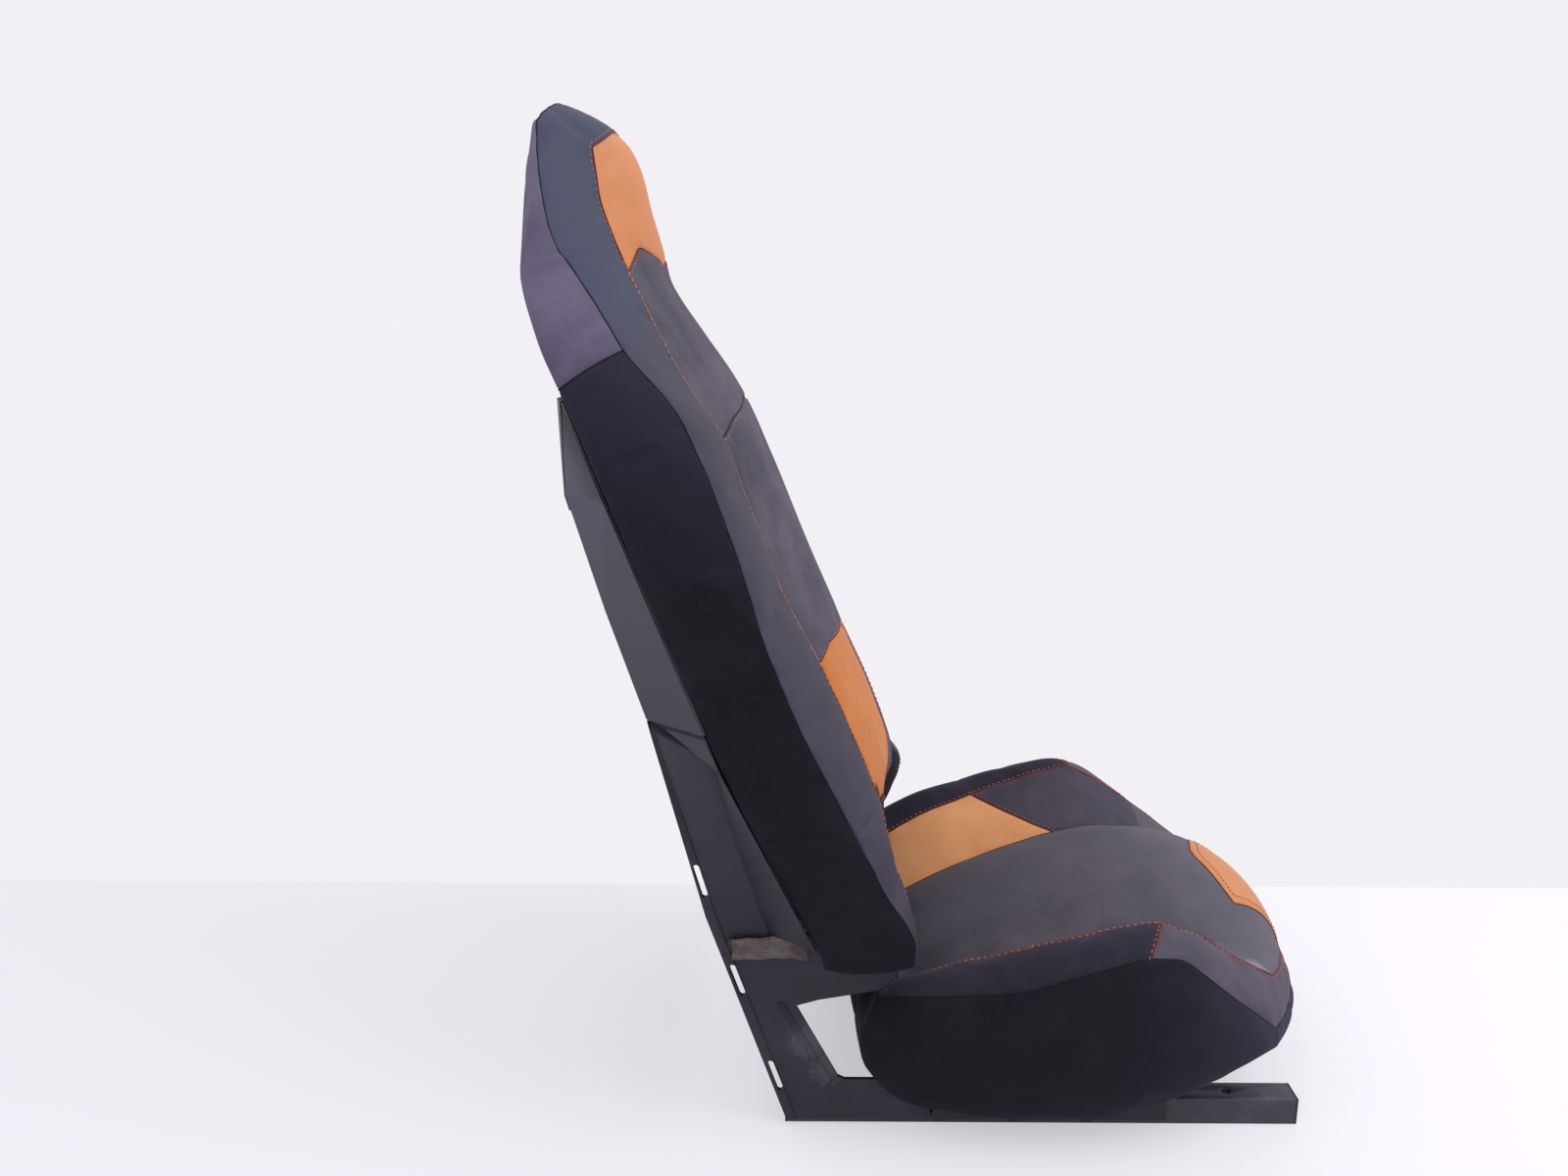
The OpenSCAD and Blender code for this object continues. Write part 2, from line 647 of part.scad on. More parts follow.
function s_core(x, d, open) = let (
        q = x < -100 ? x - 12 : x > 170 ? x + 9 : x,
        yd = lookup(q, s_dip_y) * centre_half / 115,
        zt = s_top(q),
        yc = lookup(q, s_crest_y) * crest_half / 185,
        yl = lookup(q, s_line_y),
        zl = lookup(q, s_line_z),
        yb = lookup(q, s_low_y),
        zb = lookup(q, s_low_z),
        bulge = side_bulge * lookup(q, [[-162, 0.4], [-100, 1], [180, 1], [262, 0.2]]),
        pan = s_has_pan(x),
        zf = pan ? pan_top(x) + (open ? -open_drop : fit_gap) : s_floor(x) + d,
        zh = max(zb, pan ? pan_top(x) : s_floor(x)) + d,
        ys = pan && x < 130 ? pan_half - open_drop - (open ? 0 : fit_gap) : 0.7 * yb,
        zd = zt - s_dip_drop(q) - 1.2 * d,
        rise = lookup(x, [[core_x[0], 0], [core_x[1], 1]]))
    whole([[x, 0, zd + rise * (zt - d - zd)], [x, yd, zd],
        [x, yc - 3, max(zd + rise * (s_crest(q) - 1.5 * d - zd), zh + 4)],
        [x, yl - d, max(zd + rise * (zl - d - zd), zh + 3)],
        [x, yl + bulge - 1.2 * d, max(zd + rise * ((zl + zb) / 2 - zd), zh + 2)], [x, yb - d, zh],
        [x, ys, zh - 0.01], [x, ys - 0.01, zf], [x, 0, zf]]);

module seat_core(d, open) {
    loft([for (x = core_x) s_core(x, d, open)]);
}

module seat_cover() {
    color("#3c3c42") difference() {
        seat_outer();
        seat_core(cover_t, true);
    }
}

module seat_foam() {
    color("#c9b98a") seat_core(cover_t + fit_gap, false);
}

// ---------------------------------------------------------------- back cushion

// lines of the back, each as [height, distance forward or half width]
b_rear_y = [[178, 205], [346, 217], [600, 221], [660, 212], [700, 190], [754, 150], [815, 124],
    [866, 100], [889, 30]];
b_crease_x = [[178, -122], [196, -122], [210, -127], [239, -145], [277, -164], [330, -190],
    [398, -223], [464, -249], [526, -268], [572, -284], [617, -302], [646, -317], [690, -356],
    [716, -374], [747, -397], [773, -416], [800, -422], [840, -428], [866, -428], [889, -426]];
b_crease_y = [[178, 204], [300, 220], [450, 228], [640, 225], [690, 212], [722, 190],
    [762, 166], [812, 141], [866, 104], [889, 28]];
b_seam_x = [[178, -119], [250, -133], [300, -145], [370, -176], [426, -201], [490, -235],
    [566, -264], [618, -286], [654, -309], [711, -343], [738, -360], [775, -379], [811, -392],
    [850, -396], [866, -402], [889, -425]];
b_seam_y = [[178, 176], [250, 152], [300, 140], [650, 140], [711, 134], [738, 124], [775, 104],
    [811, 86], [850, 74], [866, 62], [889, 14]];
b_front_x = [[178, -152], [222, -134], [262, -126], [279, -123], [305, -128], [355, -146],
    [417, -174], [496, -208], [585, -245], [640, -271], [697, -308], [745, -339], [775, -346],
    [804, -354], [834, -361], [860, -372], [871, -386], [882, -402], [889, -424]];

back_z = [178, 200, 230, 255, 284, 305, 345, 372, 417, 460, 500, 545, 589, 630, 660, 690, 714,
    738, 762, 790, 820, 848, 868, 881, 889];

// the headrest's height follows its own named value
function head_z(z) = z <= shoulder_z ? z
    : shoulder_z + (z - 660) * (head_top_z - shoulder_z) / (889 - 660);
function b_wide(y) = y * back_half / 228;

function b_ring(z) = let (
        h = head_z(z),
        xr = lookup(z, b_rear_x),
        yr = b_wide(lookup(z, b_rear_y)),
        xc = lookup(z, b_crease_x),
        yc = b_wide(lookup(z, b_crease_y)),
        xs = lookup(z, b_seam_x),
        ys = lookup(z, b_seam_y),
        xf = lookup(z, b_front_x),
        bulge = back_bulge * lookup(z, [[178, 0.5], [260, 1], [660, 1], [740, 0.6], [889, 0]]),
        xm = xc - xr,
        crown = function (t) xs + (xf - xs) * (1 - t * t))
    whole([[xr, 0, h], [xr, 0.6 * yr, h], [xr, yr - 5, h], [xr + 0.06 * xm, yr, h],
        [xr + 0.35 * xm, yr + 0.35 * (yc - yr) + bulge, h],
        [xr + 0.7 * xm, yr + 0.7 * (yc - yr) + bulge, h],
        [xc - 2, yc, h], [xc + 0.12 * (xs - xc), yc - 4, h],
        [(xc + xs) / 2 + 2, (yc + ys) / 2 + 2, h], [xs, ys, h],
        [crown(0.8), 0.8 * ys, h], [crown(0.55), 0.55 * ys, h], [crown(0.28), 0.28 * ys, h],
        [xf, 0, h]]);

module back_outer() {
    loft([for (z = back_z) b_ring(z)]);
}

back_core_z = [184, 230, 284, 345, 417, 500, 570, 628, 664, 700, 738, 775, 812, 848, 872];
board_top_z = 634;

function b_core(z, d, open) = let (
        q = z > 800 ? z + 4 : z,
        h = head_z(z),
        xr = lookup(q, b_rear_x),
        yr = b_wide(lookup(q, b_rear_y)),
        xc = lookup(q, b_crease_x),
        yc = b_wide(lookup(q, b_crease_y)),
        xs = lookup(q, b_seam_x),
        ys = lookup(q, b_seam_y),
        xf = lookup(q, b_front_x),
        back = z < board_top_z ? (open ? -12 : board_t + 2 * fit_gap) : 1.2 * d,
        k = z > 800 ? 1 + (z - 800) / 40 : 1,
        yw = max(yr - d * k, 5))
    whole([[xr + back, 0, h], [xr + back, yw - 2, h], [max(xr + back, (xr + xc) / 2), yw + 1, h],
        [max(xc - 1.2 * d, xr + back + 1), max(yc - 1.2 * d * k, 4), h],
        [max(xs - d * k, xr + back + 2), max(ys - 0.6 * d * k, 3), h],
        [max((xs + 2 * xf) / 3 - d * k, xr + back + 3), 0.55 * max(ys - 0.6 * d * k, 3), h],
        [max(xf - d * k, xr + back + 4), 0, h]]);

module back_core(d, open) {
    loft([for (z = back_core_z) b_core(z, d, open)]);
}

module back_cover() {
    color("#2b2a33") difference() {
        back_outer();
        back_core(cover_t, true);
    }
}

module back_foam() {
    color("#c9b98a") back_core(cover_t + fit_gap, false);
}

// the board stops short of the cover's sides, and its corners are cut back further
board_inset = 12;
board_corner = 28;

module back_board() {
    low = back_low_z + cover_t + 2;
    high = board_top_z - 8;
    inner = fit_gap;
    outline = [[back_rear(low) + inner, low], [back_rear(back_bend_z) + inner, back_bend_z],
        [back_rear(high) + inner, high], [back_rear(high) + inner + board_t, high],
        [back_rear(back_bend_z) + inner + board_t, back_bend_z],
        [back_rear(low) + inner + board_t, low]];
    edge = function (z, cut) b_wide(lookup(z, b_rear_y)) - cut;
    side = [[edge(low, board_corner), low], [edge(low + 40, board_inset), low + 40],
        [edge(back_bend_z, board_inset), back_bend_z], [edge(high - 60, board_inset), high - 60],
        [edge(high, board_corner), high]];
    color("#2c2c30") difference() {
        intersection() {
            slab(outline, 2 * back_half);
            translate([-500, 0, 0]) rotate([90, 0, 90]) linear_extrude(500)
                polygon(concat(side, [for (i = [len(side) - 1 : -1 : 0]) [-side[i][0], side[i][1]]]));
        }
        each_back_post() translate([0, 0, -10]) cylinder(d = 9, h = 40, $fn = round_fn);
        // lightening windows
        for (z = [400, 480]) translate([-500, -55, z]) cube([500, 110, 50]);
    }
}

module back_tee_nuts() {
    color("#9a9da1") each_back_post() translate([0, 0, fit_gap])
        ring_part(9, back_screw_d + 0.1, board_t * 0.85);
}

module back_screws() {
    color("#6f7276") each_back_post() {
        translate([0, 0, -screw_seat])
            cylinder(d = back_screw_d, h = screw_seat + board_t * 0.8, $fn = round_fn);
        translate([0, 0, -screw_seat - 3.4])
            cylinder(d = 2 * back_screw_d, h = 3.4, $fn = round_fn);
    }
}

// ---------------------------------------------------------------- pull strap

// lies flat against the plate, turns in through the slit and back along its inner face
strap_in = plate_in - fit_gap;
strap_tail = 32;

module pull_strap() {
    color("#8e8a86") difference() {
        translate([0, 0, strap_z]) linear_extrude(strap_w) polygon([
            [strap_slit_x - strap_show, -strap_y], [strap_slit_x - strap_t / 2, -strap_y],
            [strap_slit_x - strap_t / 2, -strap_in],
            [strap_slit_x - strap_tail, -strap_in],
            [strap_slit_x - strap_tail, -strap_in + strap_t],
            [strap_slit_x + strap_t / 2, -strap_in + strap_t],
            [strap_slit_x + strap_t / 2, -strap_y - strap_t],
            [strap_slit_x - strap_show, -strap_y - strap_t]]);
        translate([strap_screw_x, -strap_in + strap_t + 1, strap_z + strap_w / 2])
            rotate([90, 0, 0]) cylinder(d = strap_screw_d + 0.4, h = strap_t + 2, $fn = round_fn);
    }
}

strap_washer_t = 1;

module at_strap_screw() {
    translate([strap_screw_x, -strap_in + strap_t + strap_washer_t, strap_z + strap_w / 2])
        rotate([90, 0, 0]) children();
}

module strap_screw() {
    color("#6f7276") at_strap_screw() {
        cylinder(d = strap_screw_d, h = strap_washer_t + strap_t + fit_gap + shell_wall - 0.5,
            $fn = round_fn);
        translate([0, 0, -3]) cylinder(d = 2 * strap_screw_d, h = 3, $fn = round_fn);
    }
}

module strap_washer() {
    color("#9a9da1") at_strap_screw()
        ring_part(2.6 * strap_screw_d, strap_screw_d + 0.4, strap_washer_t);
}

carrier_shell();
base_rail_right();
base_rail_left();
crossmember_front();
crossmember_rear();
rail_end_plugs();
rail_sleeves();
shell_bolts();
shell_washers();
shell_nuts();
seat_pan();
pan_inserts();
pan_bolts();
pan_washers();
seat_foam();
seat_cover();
back_board();
back_tee_nuts();
back_screws();
back_foam();
back_cover();
pull_strap();
strap_screw();
strap_washer();
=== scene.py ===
import math
import bmesh
import bpy
import numpy as np
from mathutils import Matrix, Vector, noise
from mathutils.bvhtree import BVHTree
from mathutils.kdtree import KDTree


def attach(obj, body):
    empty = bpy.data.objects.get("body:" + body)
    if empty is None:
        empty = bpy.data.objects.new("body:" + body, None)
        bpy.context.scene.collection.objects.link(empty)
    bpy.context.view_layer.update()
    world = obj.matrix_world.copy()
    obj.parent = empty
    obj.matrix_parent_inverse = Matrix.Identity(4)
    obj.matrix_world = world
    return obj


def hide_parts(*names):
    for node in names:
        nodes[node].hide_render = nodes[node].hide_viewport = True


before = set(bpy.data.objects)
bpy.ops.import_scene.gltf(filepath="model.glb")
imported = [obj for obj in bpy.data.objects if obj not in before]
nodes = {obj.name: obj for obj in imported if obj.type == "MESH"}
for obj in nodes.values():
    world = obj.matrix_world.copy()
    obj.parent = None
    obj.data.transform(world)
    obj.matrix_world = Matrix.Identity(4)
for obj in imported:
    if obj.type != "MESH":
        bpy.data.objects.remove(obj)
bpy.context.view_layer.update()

scene = bpy.context.scene
mm = 0.001


# helpers for curves, meshes and node trees

def curveThrough(table):
    # smooth curve through given stations, with no overshoot between them
    q = np.array([row[0] for row in table], float)
    v = np.array([row[1] for row in table], float)
    step = np.diff(q)
    slope = np.diff(v) / step
    tangent = np.zeros(len(q))
    tangent[0], tangent[-1] = slope[0], slope[-1]
    for i in range(1, len(q) - 1):
        if slope[i - 1] * slope[i] > 0:
            a, b = 2 * step[i] + step[i - 1], step[i] + 2 * step[i - 1]
            tangent[i] = (a + b) / (a / slope[i - 1] + b / slope[i])

    def at(x):
        x = np.clip(np.asarray(x, float), q[0], q[-1])
        i = np.clip(np.searchsorted(q, x, side="right") - 1, 0, len(q) - 2)
        h = step[i]
        t = (x - q[i]) / h
        return (v[i] * (1 + 2 * t) * (1 - t) ** 2 + v[i + 1] * t * t * (3 - 2 * t)
                + h * (tangent[i] * t * (1 - t) ** 2 + tangent[i + 1] * t * t * (t - 1)))
    return at


def spread(length, step, start=(2.2, 5.5), end=(2.2, 5.5)):
    # fractions from 0 to 1 with close rows beside a seam and even rows between
    low = [0.0, *[d / length for d in start]]
    high = [*[1 - d / length for d in reversed(end)], 1.0]
    count = max(1, round((high[0] - low[-1]) * length / step))
    return low[:-1] + list(np.linspace(low[-1], high[0], count + 1)) + high[1:]


def chain(stops, step, tight):
    # positions along a run of key stops, close together on both sides of each tight stop
    out = []
    for i, (a, b) in enumerate(zip(stops, stops[1:])):
        near = (2.2, 5.5) if tight[i] else ()
        far = (2.2, 5.5) if tight[i + 1] else ()
        part = [i + f for f in spread(abs(b - a), step, near, far)]
        out += part[:-1]
    return np.array(out + [float(len(stops) - 1)])


def unit(v):
    return v / np.maximum(np.linalg.norm(v, axis=-1, keepdims=True), 1e-9)


def newObject(name, mesh):
    obj = bpy.data.objects.new(name, mesh)
    scene.collection.objects.link(obj)
    return obj


def finishPiece(obj, material=None, replaces=()):
    if material:
        obj.data.materials.clear()
        obj.data.materials.append(material)
    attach(obj, "root")
    if replaces:
        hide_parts(*replaces)
    return obj


def srgb(hexText):
    def channel(c):
        c /= 255
        return c / 12.92 if c <= 0.04045 else ((c + 0.055) / 1.055) ** 2.4
    text = hexText.lstrip("#")
    return tuple(channel(int(text[i:i + 2], 16)) for i in (0, 2, 4)) + (1.0,)


def addNode(tree, kind, settings=None, **inputs):
    # adds one node: settings are its own properties, inputs are values or (node, socket) links
    node = tree.nodes.new(kind)
    for key, value in (settings or {}).items():
        setattr(node, key, value)
    for key, value in inputs.items():
        key = key.replace("_", " ") if not key.startswith("in") else int(key[2:])
        socket = node.inputs[key]
        if isinstance(value, tuple) and value and isinstance(value[0], bpy.types.Node):
            tree.links.new(value[0].outputs[value[1]], socket)
        elif isinstance(value, bpy.types.Node):
            tree.links.new(value.outputs[0], socket)
        elif value is not None:
            socket.default_value = value
    return node


def startMaterial(name):
    material = bpy.data.materials.new(name)
    material.use_nodes = True
    material.node_tree.nodes.clear()
    tree = material.node_tree
    return material, tree, (addNode(tree, "ShaderNodeTexCoord"), "Object")


def closeMaterial(tree, shader):
    out = tree.nodes.new("ShaderNodeOutputMaterial")
    tree.links.new(shader.outputs[0], out.inputs["Surface"])


def ramp(tree, value, stops, interpolation="LINEAR"):
    node = addNode(tree, "ShaderNodeValToRGB", Fac=value)
    node.color_ramp.interpolation = interpolation
    elements = node.color_ramp.elements
    while len(elements) < len(stops):
        elements.new(0.5)
    for element, (place, colour) in zip(elements, stops):
        element.position = place
        element.color = colour
    return node


def multiply(tree, a, b):
    return addNode(tree, "ShaderNodeMath", {"operation": "MULTIPLY"}, in0=a, in1=b)


def mixColour(tree, amount, a, b, blend="MIX"):
    settings = {"data_type": "RGBA", "blend_type": blend}
    return addNode(tree, "ShaderNodeMix", settings, in0=amount, in6=a, in7=b), 2


def grainAt(tree, coord, scale, detail, roughness):
    return addNode(tree, "ShaderNodeTexNoise", Vector=coord, Scale=scale, Detail=detail, Roughness=roughness)


def maskAbove(tree, value, low, high):
    # black below low and white above high
    return ramp(tree, value, [(low, (0, 0, 0, 1)), (high, (1, 1, 1, 1))]), "Color"


def varyRough(tree, value, rough, less, more):
    return addNode(tree, "ShaderNodeMapRange", Value=value, in3=rough - less, in4=rough + more), 0


def toneRampAlong(tree, coord, colour, fade):
    # mixes towards another tone between two places: axis, tone, low, high, most; it serves for tone changes
    # and for painted light and shade
    axis, tone, low, high, most = fade
    split = addNode(tree, "ShaderNodeSeparateXYZ", Vector=coord)
    amount = addNode(tree, "ShaderNodeMapRange", Value=(split, axis), in1=low, in2=high, in4=most)
    return mixColour(tree, (amount, 0), colour, srgb(tone))


def addSpot(tree, coord, colour, spot):
    # a scuffed or dirty spot, ragged at its edge: place, reach, tone, most, grain
    place, reach, tone, most, grain = spot
    away = addNode(tree, "ShaderNodeVectorMath", {"operation": "DISTANCE"}, in0=coord, in1=place)
    near = addNode(tree, "ShaderNodeMapRange", Value=(away, "Value"), in1=0.0, in2=reach, in3=1.0, in4=0.0)
    torn = grainAt(tree, coord, grain, 6.0, 0.7)
    both = multiply(tree, (near, 0), (torn, "Fac"))
    mask = addNode(tree, "ShaderNodeMapRange", Value=(both, 0), in1=0.2, in2=0.36, in4=most)
    return mixColour(tree, (mask, 0), colour, srgb(tone))


# camera: off the object's right side, at the height of the headrest, looking down by 13 degrees

cameraSet = {
    "place": (-0.233, -1.1879, 0.7341), "yaw": 0.11258, "pitch": 13.0868, "roll": 0.23711,
    "lens": 29.25, "sensor": 36.0,
}


def makeCamera():
    data = bpy.data.cameras.new("cameraMain")
    data.lens = cameraSet["lens"]
    data.sensor_width = cameraSet["sensor"]
    data.sensor_fit = "HORIZONTAL"
    data.clip_start = 0.01
    camera = newObject("cameraMain", data)
    yaw, pitch, roll = (math.radians(cameraSet[k]) for k in ("yaw", "pitch", "roll"))
    forward = Vector((-math.sin(yaw) * math.cos(pitch), math.cos(yaw) * math.cos(pitch),
                      -math.sin(pitch)))
    right = Vector((math.cos(yaw), math.sin(yaw), 0))
    up = right.cross(forward)
    right2 = right * math.cos(roll) + up * math.sin(roll)
    up2 = up * math.cos(roll) - right * math.sin(roll)
    turn = Matrix((right2, up2, -forward)).transposed().to_4x4()
    camera.matrix_world = Matrix.Translation(cameraSet["place"]) @ turn
    scene.camera = camera


makeCamera()
print("camera made")


# materials

def wovenMaterial(name, look):
    # sewn seat fabric: fine weave over foam, dull, with dust in the weave, patchy tone, and tone ramps along
    # an axis, which on some panels are painted light and shade
    material, tree, coord = startMaterial(name)
    # the threads follow the cut panels where a piece has cloth coordinates, both in metres
    cloth = (addNode(tree, "ShaderNodeUVMap", {"uv_map": "cloth"}), "UV") if look["panels"] else coord
    # a wave texture at scale 1 repeats every 0.314 m
    threads = 0.31416 / (look["threadMm"] * mm)
    across, along = (
        addNode(tree, "ShaderNodeTexWave", {"wave_type": "BANDS", "bands_direction": axis},
                Vector=cloth, Scale=threads, Distortion=0.6, Detail=1.0) for axis in ("X", "Y"))
    weave = multiply(tree, (across, "Fac"), (along, "Fac"))
    nap = grainAt(tree, coord, 650.0, 4.0, 0.7)
    patches = grainAt(tree, coord, look["fadeScale"], 6.0, 0.62)
    lint = grainAt(tree, coord, 130.0, 9.0, 0.82)
    fade = ramp(tree, (patches, "Fac"), [(0.35, srgb(look["dark"])), (0.68, srgb(look["light"]))])
    dusted = multiply(tree, maskAbove(tree, (lint, "Fac"), 0.55, 0.8), look["dust"])
    base = mixColour(tree, dusted, (fade, "Color"), srgb(look["lint"]))
    # tone ramps along an axis; on the side, head and seat panels these are painted light
    for change in look.get("fades", ()):
        base = toneRampAlong(tree, coord, base, change)
    for spot in look.get("spots", ()):
        base = addSpot(tree, coord, base, spot)
    dye = look["contrast"]
    stripes = ramp(tree, weave, [(0.0, (1 - dye, 1 - dye, 1 - dye, 1)), (0.6, (1 + dye / 2,) * 3 + (1,))])
    woven = mixColour(tree, 1.0, base, (stripes, "Color"), "MULTIPLY")
    height = addNode(tree, "ShaderNodeMath", {"operation": "MULTIPLY_ADD"}, in0=(nap, "Fac"), in1=0.6,
                     in2=weave)
    bump = addNode(tree, "ShaderNodeBump", Height=height, Strength=look["bump"], Distance=0.0004)
    rough = varyRough(tree, (patches, "Fac"), look["rough"], 0.06, 0.06)
    shader = addNode(tree, "ShaderNodeBsdfPrincipled", Base_Color=woven, Roughness=rough, Normal=bump,
                     Sheen_Weight=look["sheen"], Sheen_Roughness=0.5)
    shader.inputs["Specular IOR Level"].default_value = look["specular"]
    shader.inputs["Sheen Tint"].default_value = srgb(look["sheenTint"])
    closeMaterial(tree, shader)
    return material


def vinylMaterial(name, look):
    # coated vinyl: pebbled grain, soft shine, dirt in the grain and rubbed lighter patches
    material, tree, coord = startMaterial(name)
    # one grain cell for each grainMm
    cells = addNode(tree, "ShaderNodeTexVoronoi", {"feature": "F1"}, Vector=coord,
                    Scale=1000 / look["grainMm"])
    fine = grainAt(tree, coord, 700.0, 5.0, 0.6)
    wear = grainAt(tree, coord, look["wearScale"], 8.0, 0.65)
    specks = grainAt(tree, coord, 240.0, 6.0, 0.75)
    even = ramp(tree, (wear, "Fac"), [(0.3, srgb(look["dark"])), (0.55, srgb(look["mid"])),
                                      (0.75, srgb(look["light"]))])
    # a tone ramp along an axis; on the paler seat vinyl this is part of its painted light
    base = toneRampAlong(tree, coord, (even, "Color"), look["bleach"])
    for spot in look.get("spots", ()):
        base = addSpot(tree, coord, base, spot)
    dirt = multiply(tree, maskAbove(tree, (specks, "Fac"), 0.6, 0.8), look["dirt"])
    colour = mixColour(tree, dirt, base, srgb(look["dirtColour"]))
    height = addNode(tree, "ShaderNodeMath", {"operation": "MULTIPLY_ADD"}, in0=(fine, "Fac"), in1=0.35,
                     in2=(cells, "Distance"))
    bump = addNode(tree, "ShaderNodeBump", Height=height, Strength=look["bump"], Distance=0.0004)
    rough = varyRough(tree, (wear, "Fac"), look["rough"], 0.07, 0.1)
    shader = addNode(tree, "ShaderNodeBsdfPrincipled", Base_Color=colour, Roughness=rough, Normal=bump)
    shader.inputs["Specular IOR Level"].default_value = look["specular"]
    shader.inputs["Sheen Weight"].default_value = look["sheen"]
    closeMaterial(tree, shader)
    return material


def mouldedMaterial(name, look):
    # moulded polypropylene: fine spark texture, satin, with road dust on faces that look up
    material, tree, coord = startMaterial(name)
    # spark texture of about 0.6 mm, drawn at 0.9 mm
    spark = grainAt(tree, coord, 1100.0, 3.0, 0.6)
    clouds = grainAt(tree, coord, look["dustScale"], 9.0, 0.68)
    scratchPlace = addNode(tree, "ShaderNodeMapping", Vector=coord, Scale=(40.0, 40.0, 260.0),
                           Rotation=(0.3, 0.5, 0.0))
    scratches = grainAt(tree, scratchPlace, 1.0, 6.0, 0.7)
    even = ramp(tree, (clouds, "Fac"), [(0.3, srgb(look["dark"])), (0.7, srgb(look["light"]))])
    # a tone ramp along an axis; on the shell, its edge highlight and the rails this is painted light and
    # shade
    body = toneRampAlong(tree, coord, (even, "Color"), look["bleach"])
    for spot in look.get("spots", ()):
        body = addSpot(tree, coord, body, spot)
    dustMask = maskAbove(tree, (clouds, "Fac"), 0.5, 0.75)
    facing = addNode(tree, "ShaderNodeNewGeometry")
    split = addNode(tree, "ShaderNodeSeparateXYZ", Vector=(facing, "Normal"))
    upward = addNode(tree, "ShaderNodeMapRange", Value=(split, "Z"), in1=-0.2, in2=0.9, in3=0.25, in4=1.0)
    dust = multiply(tree, multiply(tree, dustMask, (upward, 0)), look["dust"])
    dusty = mixColour(tree, dust, body, srgb(look["dustColour"]))
    scuff = multiply(tree, maskAbove(tree, (scratches, "Fac"), 0.64, 0.7), look["scuff"])
    colour = mixColour(tree, scuff, dusty, srgb(look["scuffColour"]))
    rounded = addNode(tree, "ShaderNodeBevel", {"samples": 6}, Radius=look["edge"])
    bump = addNode(tree, "ShaderNodeBump", Height=(spark, "Fac"), Strength=look["bump"],
                   Distance=0.0003, Normal=rounded)
    rough = varyRough(tree, (clouds, "Fac"), look["rough"], 0.06, 0.12)
    shader = addNode(tree, "ShaderNodeBsdfPrincipled", Base_Color=colour, Roughness=rough, Normal=bump)
    shader.inputs["Specular IOR Level"].default_value = look["specular"]
    closeMaterial(tree, shader)
    return material


def metalMaterial(name, look):
    # zinc-plated or brass fasteners: bright, finely mottled, with dull patches
    material, tree, coord = startMaterial(name)
    spangle = addNode(tree, "ShaderNodeTexNoise", Vector=coord, Scale=420.0, Detail=5.0)
    colour = ramp(tree, (spangle, "Fac"), [(0.35, srgb(look["dark"])), (0.7, srgb(look["light"]))])
    rough = varyRough(tree, (spangle, "Fac"), look["rough"], 0.1, 0.15)
    rounded = addNode(tree, "ShaderNodeBevel", {"samples": 4}, Radius=0.0004)
    bump = addNode(tree, "ShaderNodeBump", Height=(spangle, "Fac"), Strength=0.08, Distance=0.0002,
                   Normal=rounded)
    shader = addNode(tree, "ShaderNodeBsdfPrincipled", Base_Color=(colour, "Color"), Metallic=1.0,
                     Roughness=rough, Normal=bump)
    closeMaterial(tree, shader)
    return material


# what the knits and the sewing threads share
knitLook = {"threadMm": 1.1, "dust": 0.14, "contrast": 0.12, "bump": 0.3, "sheen": 0.2, "specular": 0.2,
            "fadeScale": 16.0, "panels": True}
threadLook = {"threadMm": 0.5, "dust": 0.1, "contrast": 0.1, "bump": 0.2, "sheen": 0.1, "specular": 0.2,
              "fadeScale": 60.0, "panels": False}
# knitted polyester on foam
# the side knit: its tone ramps are painted light, lighter towards the top of the back and towards the front
# of the seat, where light falls
sideCloth = wovenMaterial("blackKnitPolyester", {
    **knitLook, "dark": "#18161c", "light": "#242229", "lint": "#6a6670",
    "fades": [("Z", "#3d3750", 0.5, 0.7, 0.6), ("X", "#4a4358", 0.05, 0.22, 0.6)],
    "rough": 0.9, "sheen": 0.12, "sheenTint": "#8a86a8", "specular": 0.15, "fadeScale": 14.0})
# the side knit painted lighter on the band round the seat, which faces up into the light: painted light
bandClothPaintedLight = wovenMaterial("blackPlumKnit", {
    **knitLook, "dark": "#22202c", "light": "#2f2c3a", "lint": "#767080", "rough": 0.86,
    "sheenTint": "#9a92b4"})
frontCloth = wovenMaterial("greyPlumKnit", {
    **knitLook, "dark": "#484350", "light": "#595361", "lint": "#8d8794", "rough": 0.84,
    "sheenTint": "#aaa2be", "specular": 0.25})
# the side knit painted lighter on the head's side panels, which face up and outwards into the light, and
# lighter still towards the top: painted light
headClothPaintedLight = wovenMaterial("purpleGreyKnit", {
    **knitLook, "dark": "#5a5269", "light": "#736a84", "lint": "#948ea2", "dust": 0.12,
    "fades": [("Z", "#8a8399", 0.74, 0.86, 0.5)],
    "rough": 0.88, "sheen": 0.25, "sheenTint": "#a8a2c8", "fadeScale": 14.0})
# its tone ramp makes it darker on the seat than on the back
insertCloth = wovenMaterial("brownBlackKnit", {
    **knitLook, "threadMm": 1.3, "dark": "#4b4754", "light": "#665f6e", "lint": "#98929c", "dust": 0.2,
    "fades": [("X", "#3f3b47", -0.1, 0.0, 0.6)],
    "contrast": 0.18, "bump": 0.45, "rough": 0.9, "sheenTint": "#9a94a0"})
# the seat's centre panel: its tone ramp paints it lighter towards the front, where the slope catches light:
# painted light
seatCloth = wovenMaterial("slateKnitSeat", {
    **knitLook, "threadMm": 1.3, "dark": "#484550", "light": "#5c5863", "lint": "#8f8b92", "dust": 0.16,
    "spots": [((0.192, -0.149, 0.149), 0.022, "#b4b1b8", 0.4, 900.0)],
    "fades": [("X", "#6f6b74", 0.1, 0.24, 0.6)],
    "contrast": 0.15, "bump": 0.4, "rough": 0.82, "sheenTint": "#a09aa8", "specular": 0.3,
    "fadeScale": 12.0})
